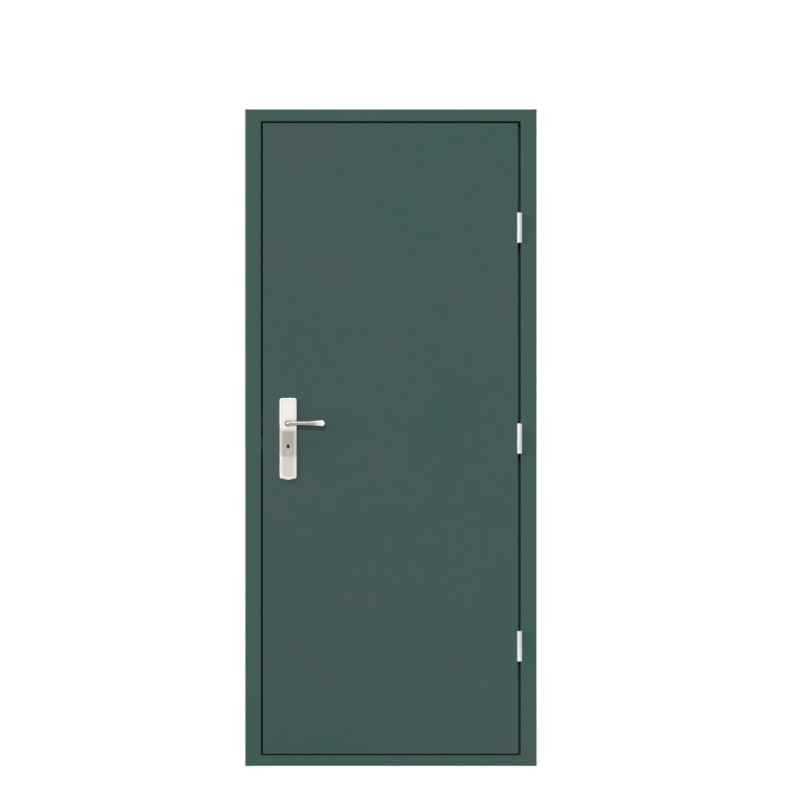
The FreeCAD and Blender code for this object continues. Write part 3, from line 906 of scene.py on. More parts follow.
@dataclass
class DoorFrame(SubAssembly):
    """Two jambs, a head and a threshold folded from sheet and welded at their corners."""

    bend: float = 1.5 * MM
    wall_lip: float = 12.0 * MM
    seam_gap: float = 0.5 * MM
    fixing_count: int = 4
    hole_radius: float = 5.5 * MM
    hole_steps: int = 32
    strike_fit: float = 0.2 * MM

    def corners(self, face: float, closed: bool) -> tuple[Point2, ...]:
        """Give the section's corners.

        Args:
            face: width of the front face.
            closed: whether the wall side is closed by a sheet, as under the threshold.

        Returns:
            The corners from the wall side round the front to the wall side again.
        """
        depth = self.layout.depth
        stop = face + self.layout.stop_width
        rebate = self.layout.stop_face - self.layout.front
        middle = ((0.0, 0.0), (face, 0.0), (face, rebate), (stop, rebate), (stop, depth))
        if closed:
            return ((0.0, depth - self.layout.sheet - self.seam_gap), *middle, (0.0, depth))
        return ((0.0, self.wall_lip), *middle, (0.0, depth), (0.0, depth - self.wall_lip))

    def jamb(self, side: int) -> Shell:
        """Make a jamb with ends cut to meet the head and the threshold.

        Args:
            side: -1 for the lock side and 1 for the hinge side.

        Returns:
            The jamb's shell.
        """
        layout = self.layout
        head_start = layout.jamb_face - layout.head_face
        threshold_start = layout.jamb_face - layout.threshold_face
        # The cut ends start part of the way across the front and back faces
        on_front = [(head_start, 0.0), (threshold_start, 0.0)]
        on_back = [(threshold_start, layout.depth), (head_start, layout.depth)]
        lip, edge, *inside, back_edge, back_lip = self.corners(layout.jamb_face, False)
        corners = (lip, edge, *on_front, *inside, *on_back, back_edge, back_lip)
        profile = FoldedProfile(corners, frozenset(on_front + on_back), layout.sheet, self.bend)

        def place(inward: float, back: float, height: float) -> Vector:
            """Give the place of a section point at a height."""
            return Vector((side * (layout.outer - inward), layout.front + back, height))

        return profile.sweep(
            lambda inward, back: place(inward, back, max(0.0, inward - threshold_start)),
            lambda inward, back: place(inward, back, layout.height - max(0.0, inward - head_start)),
        )

    def crosspiece(self, face: float, closed: bool, height: Callable[[float], float]) -> Shell:
        """Make the head or the threshold between the jambs.

        Args:
            face: height of its front face.
            closed: whether its wall side is closed.
            height: gives the height of a point that lies so far inward from the outer face.

        Returns:
            The shell with its cut ends.
        """
        layout = self.layout
        profile = FoldedProfile(self.corners(face, closed), frozenset(), layout.sheet, self.bend)

        def place(side: int, inward: float, back: float) -> Vector:
            """Give the place of a section point at the end on one side."""
            return Vector((side * (layout.inner + face - inward), layout.front + back, height(inward)))

        return profile.sweep(
            lambda inward, back: place(-1, inward, back),
            lambda inward, back: place(1, inward, back),
        )

    def corner_tabs(self, shell: Shell, side: int) -> None:
        """Carry the head's wall lips over the top of a jamb.

        Args:
            shell: the head's shell, which takes the two tabs.
            side: -1 for the lock side and 1 for the hinge side.
        """
        layout = self.layout
        start = side * (layout.inner + layout.head_face)
        end = side * (layout.outer - layout.sheet)
        lip = (layout.sheet, self.wall_lip)
        heights = (layout.height - layout.sheet, layout.height)
        for near, far in ([layout.front + back for back in lip], [layout.back - back for back in lip]):
            spots = [(start, near), (end, near), (end, far), (start, far)]
            shell.loft([flat(spots, z) for z in heights])

    def fixing_holes(self, side: int) -> list[Shell]:
        """Make the cutters for the wall fixings through a jamb's stop.

        Args:
            side: -1 for the lock side and 1 for the hinge side.

        Returns:
            One round cutter for each fixing.
        """
        low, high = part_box("left_wall_sleeves")
        sleeve = (high.y - low.y) / 2
        x = side * (self.layout.soffit - self.layout.sheet)
        run = Vector((4 * self.layout.sheet * side, 0, 0))
        cutters = []
        for share in shares(self.fixing_count - 1):
            centre = (low.y + sleeve, low.z + sleeve + (high.z - low.z - 2 * sleeve) * share)
            rim = ellipse(centre, (self.hole_radius, self.hole_radius), self.hole_steps)
            cutters.append(prism([Vector((x, y, z)) for y, z in rim], run))
        return cutters

    def strike_opening(self) -> Shell:
        """Make the cutter for the strike plate's seat.

        Returns:
            A box with some room round the plate.
        """
        low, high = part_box("strike_plate")
        spare = Vector((2 * self.layout.sheet, self.strike_fit, self.strike_fit))
        return block(low - spare, high + spare)

    def build(self) -> None:
        """Build and fit the four members and what is fixed inside them."""
        layout = self.layout
        left = carve(self.jamb(-1).make("left_jamb_sheet"), self.fixing_holes(-1) + [self.strike_opening()])
        right = carve(self.jamb(1).make("right_jamb_sheet"), self.fixing_holes(1))
        head = self.crosspiece(layout.head_face, False, lambda inward: layout.height - inward)
        for side in (-1, 1):
            self.corner_tabs(head, side)
        threshold = self.crosspiece(layout.threshold_face, True, lambda inward: inward)
        lengths = [f"frame_left_jamb_{name}" for name in ("lower", "lock", "upper")]
        members = (
            (left, lengths),
            (right, ["frame_right_jamb"]),
            (head.make("head_sheet"), ["frame_head"]),
            (threshold.make("threshold_sheet"), ["frame_threshold"]),
        )
        for member, nodes in members:
            self.shop.fit(member, Body.FRAME, Slot.FRAME_PAINT, nodes)
        for node in ("left_wall_sleeves", "right_wall_sleeves", "hinge_backing_plates", "strike_box"):
            self.shop.keep(node, Slot.ZINC_STEEL)


@dataclass
class StopSeal(SubAssembly):
    """A rubber strip with a round bulb, laid round the stop and mitred at its corners."""

    base_rise: float = 1.6 * MM
    lip_rise: float = 1.2 * MM
    lip_slope: float = 0.48 * MM
    bulb_margin: float = 1.2 * MM
    bulb_steps: int = 12

    def section(self, width: float, thickness: float) -> list[Point2]:
        """Give the strip's section.

        Args:
            width: width of the strip on the stop.
            thickness: height of the bulb over the stop.

        Returns:
            Points as (outward, height), from the inner edge over the bulb to the outer edge.
        """
        edge = [(0.0, 0.0), (0.0, self.lip_rise), (self.lip_slope, self.base_rise)]
        radii = (width / 2 - self.bulb_margin, thickness - self.base_rise)
        bulb = arc((width / 2, self.base_rise), radii, math.pi, -math.pi, self.bulb_steps)
        return edge + bulb + [(width - outward, rise) for outward, rise in reversed(edge)]

    def build(self) -> None:
        """Build and fit the strip as one ring."""
        side_low, side_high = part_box("left_seal")
        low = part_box("threshold_seal")[1].z
        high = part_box("head_seal")[0].z
        section = self.section(side_high.x - side_low.x, side_high.y - side_low.y)
        face = self.layout.stop_face
        rings = []
        for side, start, up in ((-1, low, -1), (1, low, -1), (1, high, 1), (-1, high, 1)):
            rings.append([Vector((side * (outward - side_high.x), face - rise, start + up * outward))
                          for outward, rise in section])
        strip = Shell().loft(rings, looped=True)
        nodes = [f"{name}_seal" for name in ("left", "right", "head", "threshold")]
        self.shop.fit(strip.make("stop_seal"), Body.FRAME, Slot.SEAL_RUBBER, nodes)


@dataclass
class Hinge(SubAssembly):
    """One lift-off hinge: a plate on the jamb, a plate on the leaf's edge and their two knuckles."""

    name: str
    plate: float = 2.5 * MM
    knuckle_steps: int = 40
    end_round: float = 1.0 * MM
    end_steps: int = 3
    screw_back: float = 11.0 * MM
    screw_step: float = 13.0 * MM
    screw_lead: float = 16.0 * MM
    washer_round: float = 0.5 * MM

    def outline(self, axis: Vector, radius: float, faces: Point2, reach: float) -> list[Point2]:
        """Give the section of a plate rolled into a knuckle.

        Args:
            axis: middle of the knuckle.
            radius: radius of the knuckle.
            faces: X of the plate's two faces, the lower one first.
            reach: Y of the plate's far edge.

        Returns:
            Points round the section.
        """
        first, last = (math.acos((face - axis.x) / radius) for face in faces)
        turn = math.tau - (first - last)
        knuckle = arc((axis.x, axis.y), (radius, radius), first, turn, self.knuckle_steps)
        return [(faces[0], reach), *knuckle, (faces[1], reach)]

    def half(self, body: Body, faces: Point2) -> None:
        """Build and fit one half with its screws.

        Args:
            body: body that the half moves with.
            faces: X of the plate's two faces, the lower one first.
        """
        node = f"{self.name}_hinge_{body.value}_half"
        low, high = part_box(node)
        washer_low, washer_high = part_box(f"{self.name}_hinge_washer")
        top = high.z
        screw_face = faces[1]
        out = 1
        if body is Body.FRAME:
            # The node's pin stands on through the washer, so this knuckle ends under the washer
            top = washer_low.z
            screw_face = faces[0]
            out = -1
        radius = (washer_high.x - washer_low.x) / 2
        outline = self.outline((washer_low + washer_high) / 2, radius, faces, high.y)
        shell = prism(flat(outline, low.z), Vector((0, 0, top - low.z)))
        shell.soften(self.end_round, self.end_steps, level)
        self.shop.fit(shell.make(f"{node}_steel"), body, Slot.HINGE_STEEL, [node])
        middle = (low.z + top) / 2
        spots = ((0.0, -self.screw_step), (0.0, self.screw_step), (self.screw_lead, 0.0))
        seats = [Vector((screw_face, high.y - self.screw_back - lead, middle + rise)) for lead, rise in spots]
        heads = Screw().heads(seats, Vector((out, 0, 0)))
        self.shop.fit(heads.make(f"{node}_screws"), body, Slot.ZINC_STEEL)

    def build(self) -> None:
        """Build and fit both halves and the washer between them."""
        jamb = self.layout.inner
        edge = self.layout.leaf_high.x
        self.half(Body.FRAME, (jamb - self.plate, jamb))
        self.half(Body.LEAF, (edge, edge + self.plate))
        node = f"{self.name}_hinge_washer"
        low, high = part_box(node)
        middle = (low + high) / 2
        radius = (high.x - low.x) / 2
        ring = ellipse((middle.x, middle.y), (radius, radius), self.knuckle_steps)
        shell = prism(flat(ring, low.z), Vector((0, 0, high.z - low.z))).soften(self.washer_round)
        self.shop.fit(shell.make(f"{node}_ring"), Body.FRAME, Slot.HINGE_STEEL, [node])


@dataclass
class Leaf(SubAssembly):
    """The hollow leaf: a front pan with rounded edges and a back pan nested in it."""

    sheet: float = 1.0 * MM
    round: float = 2.5 * MM
    bevel: float = 3.0 * MM
    back_inset: float = 1.2 * MM
    back_flange: float = 11.0 * MM
    round_steps: int = 6
    spindle_hole: float = 12.0 * MM
    hole_steps: int = 32

    @property
    def thickness(self) -> float:
        """Thickness of the leaf."""
        return self.layout.leaf_high.y - self.layout.leaf_low.y

    @property
    def lean(self) -> float:
        """Angle of the bevelled lock edge in radians."""
        return math.atan2(self.bevel, self.thickness)

    def ring(self, inset: float, y: float) -> list[Vector]:
        """Give the four corners of the leaf at a depth.

        Args:
            inset: how far the corners are drawn in.
            y: depth of the ring.

        Returns:
            The corners, from the lock side at the bottom.
        """
        low, high = self.layout.leaf_low, self.layout.leaf_high
        left = low.x + inset + self.bevel * (y - low.y) / self.thickness
        right = high.x - inset
        bottom = low.z + inset
        top = high.z - inset
        return upright([(left, bottom), (right, bottom), (right, top), (left, top)], y)

    def pan(self, inset: float, face: float, into: int, rim: float, radius: float) -> Shell:
        """Make a shallow pan with rounded edges.

        Args:
            inset: how far its flanges stand in from the leaf's outline.
            face: Y of its flat face.
            into: way from the face into the leaf, along Y.
            rim: Y of the flanges' free edge.
            radius: outside radius of the edges.

        Returns:
            The closed shell of the pan.
        """
        inside = radius - self.sheet
        outer_bend = arc((radius, radius), (radius, radius), -math.pi / 2, -math.pi / 2, self.round_steps)
        inner_bend = arc((radius, radius), (inside, inside), -math.pi, math.pi / 2, self.round_steps)
        sections = [self.ring(inset + across, face + into * along) for across, along in outer_bend]
        sections += [self.ring(inset, rim), self.ring(inset + self.sheet, rim)]
        sections += [self.ring(inset + across, face + into * along) for across, along in inner_bend]
        return Shell().loft(sections)

    def lock_holes(self, face: float, cylinder: "KeyCylinder") -> list[Shell]:
        """Make the cutters for the spindle and the cylinder through a skin.

        Args:
            face: Y of the skin.
            cylinder: gives the cylinder's outline.

        Returns:
            The two cutters.
        """
        axis = self.layout.spindle
        spindle = ellipse((axis.x, axis.z), (self.spindle_hole, self.spindle_hole), self.hole_steps)
        start = face - 2 * self.sheet
        run = Vector((0, 4 * self.sheet, 0))
        return [prism(upright(outline, start), run) for outline in (spindle, cylinder.outline(0.0))]

    def build(self, cylinder: "KeyCylinder", edge: "LockEdge") -> None:
        """Build and fit both pans.

        Args:
            cylinder: gives the cylinder's outline.
            edge: gives the lock face's seat.
        """
        front, back = self.layout.leaf_low.y, self.layout.leaf_high.y
        outer = self.pan(0.0, front, 1, back, self.round).make("leaf_front_pan")
        carve(outer, self.lock_holes(front, cylinder) + [edge.seat()])
        self.shop.fit(outer, Body.LEAF, Slot.LEAF_PAINT, ["leaf_front_skin"])
        nested = self.pan(self.back_inset, back, -1, back - self.back_flange, self.round - self.sheet)
        panel = carve(nested.make("leaf_back_pan"), self.lock_holes(back, cylinder))
        self.shop.fit(panel, Body.LEAF, Slot.LEAF_PAINT, ["leaf_back_skin"])


@dataclass
class LockEdge(SubAssembly):
    """The lock face in the leaf's bevelled edge, its bolts, and the strike in the jamb."""

    lean: float
    width: float = 24.0 * MM
    height: float = 235.0 * MM
    thickness: float = 3.0 * MM
    drop: float = 30.0 * MM
    seat_play: float = 0.2 * MM
    ease: float = 0.5 * MM
    screw_margin: float = 10.0 * MM
    cylinder_screw_drop: float = 18.0 * MM
    bolt_play: float = 0.3 * MM
    strike_play: float = 2.0 * MM
    # Rise over the spindle, width and height of the latch and of the dead bolt
    bolt_sizes: tuple[tuple[float, float, float], ...] = (
        (4.0 * MM, 12.0 * MM, 20.0 * MM), (-62.0 * MM, 14.0 * MM, 34.0 * MM))

    def leaned(self, shell: Shell) -> Shell:
        """Lean a shell drawn on a square edge onto the bevel.

        Args:
            shell: the shell to lean.

        Returns:
            The same shell.
        """
        pivot = Vector((self.layout.leaf_low.x, self.layout.leaf_low.y, 0))
        turn = Matrix.Translation(pivot) @ Matrix.Rotation(-self.lean, 4, "Z") @ Matrix.Translation(-pivot)
        bmesh.ops.transform(shell.mesh, matrix=turn, verts=shell.mesh.verts[:])
        return shell

    def on_edge(self, near: float, far: float, half: float, low: float, high: float) -> Shell:
        """Make a box on the square edge, from its X faces, half its width and its Z ends."""
        x, y = self.layout.leaf_low.x, self.layout.core
        return block(Vector((x + near, y - half, low)), Vector((x + far, y + half, high)))

    def ends(self, spare: float) -> Point2:
        """Give the lowest and highest Z of the lock face with some spare."""
        middle = self.layout.spindle.z - self.drop
        return middle - self.height / 2 - spare, middle + self.height / 2 + spare

    def seat(self) -> Shell:
        """Make the cutter for the lock face's seat in the leaf."""
        half = self.width / 2 + self.seat_play
        return self.leaned(self.on_edge(-self.thickness, self.thickness, half, *self.ends(self.seat_play)))

    def bolt_ways(self, play: float) -> list[tuple[float, float, float]]:
        """Give half the width and the lowest and highest Z of each bolt's way.

        Args:
            play: room round the bolt.

        Returns:
            One row for the latch and one for the dead bolt.
        """
        ways = []
        for rise, wide, tall in self.bolt_sizes:
            middle = self.layout.spindle.z + rise
            ways.append((wide / 2 + play, middle - tall / 2 - play, middle + tall / 2 + play))
        return ways

    def build(self) -> None:
        """Build and fit the lock face, the strike and their screws, and dress the bolts."""
        low, high = self.ends(0.0)
        plate = self.on_edge(0.0, self.thickness, self.width / 2, low, high).soften(self.ease)
        reach = 2 * self.thickness
        ways = [self.leaned(self.on_edge(-reach, reach, *way)) for way in self.bolt_ways(self.bolt_play)]
        face = carve(self.leaned(plate).make("lock_face_plate"), ways)
        self.shop.fit(face, Body.LEAF, Slot.LOCK_STEEL, ["lock_forend"])
        cylinder_screw = self.layout.key.z - self.cylinder_screw_drop
        seats = [Vector((self.layout.leaf_low.x, self.layout.core, height))
                 for height in (low + self.screw_margin, cylinder_screw, high - self.screw_margin)]
        heads = self.leaned(Screw().heads(seats, Vector((-1, 0, 0))))
        self.shop.fit(heads.make("lock_face_screws"), Body.LEAF, Slot.ZINC_STEEL)
        self.strike()
        for node in ("latch_bolt", "dead_bolt"):
            self.shop.keep(node, Slot.LOCK_STEEL)
            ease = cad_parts[node].modifiers.new("eased edges", "BEVEL")
            ease.width = self.ease
            ease.segments = 2
            ease.limit_method = "ANGLE"

    def strike(self) -> None:
        """Build and fit the strike plate with its two keeps and screws."""
        low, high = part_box("strike_plate")
        reach = high.x - low.x
        core = self.layout.core
        keeps = []
        for half, bottom, top in self.bolt_ways(self.strike_play):
            keep_low = Vector((low.x - reach, core - half, bottom))
            keeps.append(block(keep_low, Vector((high.x + reach, core + half, top))))
        plate = carve(block(low, high).soften(self.ease).make("strike_plate_steel"), keeps)
        self.shop.fit(plate, Body.FRAME, Slot.LOCK_STEEL, ["strike_plate"])
        seats = [Vector((high.x, core, height))
                 for height in (low.z + self.screw_margin, high.z - self.screw_margin)]
        heads = Screw().heads(seats, Vector((1, 0, 0)))
        self.shop.fit(heads.make("strike_plate_screws"), Body.FRAME, Slot.ZINC_STEEL)


@dataclass
class KeyCylinder(SubAssembly):
    """The lock cylinder through the leaf, with a plug and keyway at each end."""

    radius: float = 8.5 * MM
    tail: float = 5.0 * MM
    height: float = 33.0 * MM
    ease: float = 0.5 * MM
    plug_radius: float = 6.5 * MM
    plug_play: float = 0.05 * MM
    plug_recess: float = 0.6 * MM
    plug_length: float = 8.0 * MM
    mouth_half: Point2 = (4.8 * MM, 6.3 * MM)
    mouth_depth: float = 1.2 * MM
    mouth_taper: float = 0.8
    keyway_half: float = 1.5 * MM
    keyway_tall: float = 9.5 * MM
    keyway_depth: float = 6.0 * MM
    rose_half: Point2 = (12.5 * MM, 21.0 * MM)
    rose_rise: float = 0.8 * MM
    rose_rim: float = 2.0 * MM
    head_steps: int = 28
    foot_steps: int = 10
    plug_steps: int = 40
    rose_steps: int = 56
    # Painted shade in the keyway's mouth: a dark brown brass colour that stands for the shade round the
    # keyway, with no sparkle
    mouth_painted_shade: MetalFinish = MetalFinish(
        "keyway_painted_shade", "#38312C", roughness=0.45, grain_mm=(2.0, 2.0, 2.0), grain_dark=0.7)

    def outline(self, inset: float) -> list[Point2]:
        """Give the round body with its narrow tail.

        Args:
            inset: how far the outline is drawn in.

        Returns:
            Points as (x, z), from the right of the tail over the top.
        """
        axis = self.layout.key
        radius = self.radius - inset
        half = self.tail - inset
        foot = axis.z + self.radius - self.height + self.tail
        start = -math.acos(half / radius)
        head = arc((axis.x, axis.z), (radius, radius), start, math.pi - 2 * start, self.head_steps)
        return head + arc((axis.x, foot), (half, half), math.pi, math.pi, self.foot_steps)

    def ring(self, radii: Point2, y: float) -> list[Vector]:
        """Give a ring about the plug's axis, from its reach along X and Z and its depth."""
        return upright(ellipse((self.layout.key.x, self.layout.key.z), radii, self.plug_steps), y)

    def plug(self, side: Side, face: float, finishes: Sequence[Material]) -> Object:
        """Make one plug with its keyway.

        Args:
            side: face of the leaf that it opens to.
            face: Y of the cylinder's end.
            finishes: materials of its mouth, dark as painted shade, and of its body.

        Returns:
            The plug's object.
        """
        inward = -side.value
        start = face + inward * self.plug_recess
        body = self.plug_radius
        eased = self.plug_radius - self.ease
        wide, tall = self.mouth_half
        steps = (
            ((body, body), self.plug_length),
            ((body, body), self.ease),
            ((eased, eased), 0.0),
            ((wide, tall), 0.0),
            ((wide * self.mouth_taper, tall * self.mouth_taper), self.mouth_depth),
        )
        shell = Shell().loft([self.ring(radii, start + inward * depth) for radii, depth in steps], (1, 1, 1))
        half = Vector((self.keyway_half, 0, self.keyway_tall / 2))
        ends = sorted((start - inward * self.ease, start + inward * self.keyway_depth))
        low, high = (Vector((self.layout.key.x, y, self.layout.key.z)) for y in ends)
        return carve(shell.make(f"{side.word}_plug_brass", *finishes), [block(low - half, high + half)])

    def rose(self, side: Side) -> Object:
        """Make the oval rose that frames the cylinder on a handle plate.

        Args:
            side: face of the leaf.

        Returns:
            The rose's object.
        """
        face = side.of(*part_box(f"{side.word}_handle_plate"))
        centre = (self.layout.key.x, self.layout.key.z + self.radius - self.height / 2)
        wide, tall = self.rose_half
        steps = (
            (0.0, -self.ease),
            (0.0, self.rose_rise - self.ease),
            (self.ease, self.rose_rise),
            (self.rose_rim, self.rose_rise),
        )
        shell = Shell().loft([
            upright(ellipse(centre, (wide - inset, tall - inset), self.rose_steps), face + side.value * rise)
            for inset, rise in steps])
        hole = upright(self.outline(-self.plug_play), face - side.value * self.rose_rise)
        run = Vector((0, side.value * 3 * self.rose_rise, 0))
        return carve(shell.make(f"{side.word}_key_rose"), [prism(hole, run)])

    def build(self) -> None:
        """Build and fit the body, both plugs and both roses."""
        low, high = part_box("key_cylinder")
        steps = ((low.y, self.ease), (low.y + self.ease, 0.0), (high.y - self.ease, 0.0), (high.y, self.ease))
        shell = Shell().loft([upright(self.outline(inset), y) for y, inset in steps])
        bore = self.plug_radius + self.plug_play
        length = self.plug_length + self.plug_recess + self.ease
        bores = []
        for side in Side:
            start = side.of(low, high) + side.value * self.ease
            bores.append(prism(self.ring((bore, bore), start), Vector((0, -side.value * length, 0))))
        body = carve(shell.make("cylinder_brass"), bores)
        self.shop.fit(body, Body.LEAF, Slot.CYLINDER_BRASS, ["key_cylinder"])
        finishes = (self.mouth_painted_shade.build(), self.shop.finishes[Slot.CYLINDER_BRASS])
        for side in Side:
            plug = self.plug(side, side.of(low, high), finishes)
            self.shop.fit(plug, Body.LEAF, Slot.CYLINDER_BRASS, [f"{side.word}_key_plug"])
            self.shop.fit(self.rose(side), Body.LEAF, Slot.CYLINDER_BRASS)


@dataclass
class HandleSet(SubAssembly):
    """Two long plates with pillowed borders, and a lever on each side of the leaf."""

    corner: float = 5.0 * MM
    bulge: float = 3.5 * MM
    bulge_half: float = 15.0 * MM
    shoulder: float = 8.6 * MM
    border_width: float = 9.0 * MM
    border_steps: int = 7
    corner_steps: int = 6
    bulge_steps: int = 10
    field_below_key: float = 30.0 * MM
    field_below_spindle: float = 22.0 * MM
    field_edge_mm: float = 9.0
    line_width: float = 1.0 * MM
    line_depth: float = 0.4 * MM
    neck_radius: float = 9.5 * MM
    neck_play: float = 0.3 * MM
    neck_gap: float = 1.0 * MM
    standoff: float = 46.0 * MM
    reach: float = 115.5 * MM
    elbow: float = 11.0 * MM
    elbow_steps: int = 16
    neck_power: float = 2.0
    grip_power: float = 2.3
    grip_rise: float = 0.3 * MM
    # Height and depth of the grip and of the paddle at its tip, and the shares of the reach between them
    grip_size: Point2 = (13.0 * MM, 14.0 * MM)
    paddle_size: Point2 = (17.8 * MM, 10.6 * MM)
    flare: Point2 = (0.45, 0.92)
    flare_steps: int = 24
    tip_round: float = 8.5 * MM
    tip_power: float = 2.4
    tip_thin: float = 0.45
    tip_steps: int = 20
    section_points: int = 48
    hole_steps: int = 40
    bolt_margin: float = 20.0 * MM

    @property
    def field_ends(self) -> Point2:
        """Z of the foot and the top of the field round the keyhole."""
        return self.layout.key.z - self.field_below_key, self.layout.spindle.z - self.field_below_spindle

    def plate_materials(self) -> tuple[Material, Material]:
        """Build the materials of the plates.

        Returns:
            The panel's material and the border's.
        """
        fields = {"axis": "Z", "levels": self.field_ends, "edge_mm": self.field_edge_mm}
        # Stainless plate ground upright, its tone painted by height: a painted highlight above the lever,
        # painted shade of the lever as a warm grey round the keyhole, and the plain paler colour below
        panel = FieldFinish(
            "ground_stainless_panel", "#D8CFC9", roughness=0.34, grain_mm=(2.5, 2.5, 70.0),
            grain_dark=0.9, tones=("#B5ACA3", "#F1EFEB"), **fields)
        # The plate's pillowed border, polished so it catches the lamp, and painted paler than the panel as a
        # painted highlight: a white line round the fields, painted darker round the keyhole and brighter
        # above as shade and highlight
        border = FieldFinish(
            "polished_stainless_border", "#E4E1DD", roughness=0.26, grain_mm=(2.5, 2.5, 50.0),
            grain_dark=0.94, grain_depth_mm=0.005, tones=("#CFC9C4", "#E9E7E4"), **fields)
        return panel.build(), border.build()

    def place(self, side: Side, x: float, out: float, z: float) -> Vector:
        """Give the place of a point that stands out from a face of the leaf."""
        face = side.of(self.layout.leaf_low, self.layout.leaf_high)
        return Vector((x, face + side.value * out, z))

    def outline(self, inset: float, low: float, high: float, half: float) -> list[Point2]:
        """Give the plate's outline with round corners and a shallow bulge at the foot.

        Args:
            inset: how far the outline is drawn in.
            low: Z of the straight part of the foot.
            high: Z of the top.
            half: half the plate's width.

        Returns:
            Points as (x, z) from the right of the foot, turning left.
        """
        middle = self.layout.spindle.x
        wide = half - inset
        corner = max(self.corner - inset / 2, MM)
        turns = (
            (wide - corner, low + inset + corner, -90),
            (wide - corner, high - inset - corner, 0),
            (corner - wide, high - inset - corner, 90),
            (corner - wide, low + inset + corner, 180),
        )
        radii = (corner, corner)
        points = []
        for x, z, start in turns:
            points += arc((middle + x, z), radii, math.radians(start), math.pi / 2, self.corner_steps)
        reach = self.bulge_half * wide / half
        for share in shares(self.bulge_steps):
            across = 2 * share - 1
            points.append((middle + reach * across, low + inset - self.bulge * (1 - across * across)))
        return points

    def border(self, share: float, rise: float) -> Point2:
        """Give a point on the plate's pillowed border.

        Args:
            share: how far round the border it lies, from the side wall to the flat field.
            rise: how far the plate's flat field stands out.

        Returns:
            How far it lies in from the plate's edge, and how far it stands out.
        """
        angle = math.pi / 2 * share
        inset = self.border_width * (1 - math.cos(angle))
        return inset, self.shoulder + (rise - self.shoulder) * math.sin(angle)

    def scribed_line(self, side: Side, height: float, half: float, rise: float) -> Shell:
        """Make the cutter for a line that parts two fields of a plate.

        Args:
            side: face of the leaf.
            height: Z of the line.
            half: half the plate's width.
            rise: how far the plate's flat field stands out.

        Returns:
            The cutter, which follows the border.
        """
        steps = [self.border(share, rise) for share in shares(self.border_steps)[1:]]
        right = [(half - inset, out - self.line_depth) for inset, out in steps]
        over = half + self.line_depth
        right[:0] = [(over, 2 * rise), (over, right[0][1])]
        spots = right + [(-x, out) for x, out in reversed(right)]
        foot = height - self.line_width / 2
        outline = [self.place(side, self.layout.spindle.x + x, out, foot) for x, out in spots]
        return prism(outline, Vector((0, 0, self.line_width)))

    def plate(self, side: Side, materials: Sequence[Material], cylinder: KeyCylinder) -> None:
        """Build and fit one plate with holes for the lever and the cylinder.

        Args:
            side: face of the leaf.
            materials: materials of the panel and the border.
            cylinder: gives the cylinder's outline.
        """
        node = f"{side.word}_handle_plate"
        low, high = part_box(node)
        rise = high.y - low.y
        half = (high.x - low.x) / 2
        foot = low.z + self.bulge
        steps = [(0.0, 0.0), *(self.border(share, rise) for share in shares(self.border_steps))]
        sections = []
        for inset, out in steps:
            sections.append([self.place(side, x, out, z) for x, z in self.outline(inset, foot, high.z, half)])
        shell = Shell().loft(sections, [1] * (self.border_steps + 1))
        axis = self.layout.spindle
        neck = self.neck_radius + self.neck_play
        holes = (ellipse((axis.x, axis.z), (neck, neck), self.hole_steps), cylinder.outline(-self.neck_play))
        run = self.place(side, 0, 2 * rise, 0) - self.place(side, 0, -rise, 0)
        cutters = [prism([self.place(side, x, -rise, z) for x, z in hole], run) for hole in holes]
        cutters += [self.scribed_line(side, height, half, rise) for height in self.field_ends]
        made = carve(shell.make(f"{side.word}_plate_steel", *materials), cutters)
        self.shop.fit(made, Body.LEAF, Slot.HANDLE_STEEL, [node])

    def bolts(self) -> None:
        """Build and fit the two bolts that draw the plates together, whose heads show on the back."""
        low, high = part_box("back_handle_plate")
        seats = [Vector((self.layout.spindle.x, high.y, height))
                 for height in (low.z + self.bolt_margin + self.bulge, high.z - self.bolt_margin)]
        heads = Screw(recess=Recess.HEX).heads(seats, Vector((0, 1, 0)))
        self.shop.fit(heads.make("back_plate_bolts"), Body.LEAF, Slot.ZINC_STEEL)

    def section(self, side: Side, x: float, out: float, turn: float, rise: float, size: Point2,
                power: float) -> list[Vector]:
        """Give one section across the lever.

        Args:
            side: face of the leaf.
            x: how far the section's middle lies along the grip.
            out: how far its middle stands out from the leaf.
            turn: angle from straight out to along the grip, in radians.
            rise: height of its middle over the spindle.
            size: its height and its depth.
            power: 2 for an ellipse, more for squarer corners.

        Returns:
            Points round the section.
        """
        axis = self.layout.spindle
        points = []
        for cosine, sine in ellipse((0.0, 0.0), (1.0, 1.0), self.section_points):
            across = math.copysign(abs(cosine) ** (2 / power), cosine) * size[1] / 2
            above = math.copysign(abs(sine) ** (2 / power), sine) * size[0] / 2
            along = axis.x + x + across * math.cos(turn)
            points.append(self.place(side, along, out - across * math.sin(turn), axis.z + rise + above))
        return points

    def grip(self, side: Side, along: float, tip: float) -> list[Vector]:
        """Give one section across the grip.

        Args:
            side: face of the leaf.
            along: how far it lies from the spindle.
            tip: how far round the tip it lies, from 0 where the rounding starts to 1 at the end.

        Returns:
            Points round the section.
        """
        start, end = self.flare
        flared = smooth((along / self.reach - start) / (end - start))
        height, depth = between(self.grip_size, self.paddle_size, flared)
        height *= (1 - tip ** self.tip_power) ** (1 / self.tip_power)
        depth *= 1 - self.tip_thin * tip * tip
        size = (height, depth)
        return self.section(side, along, self.standoff, math.pi / 2, self.grip_rise, size, self.grip_power)

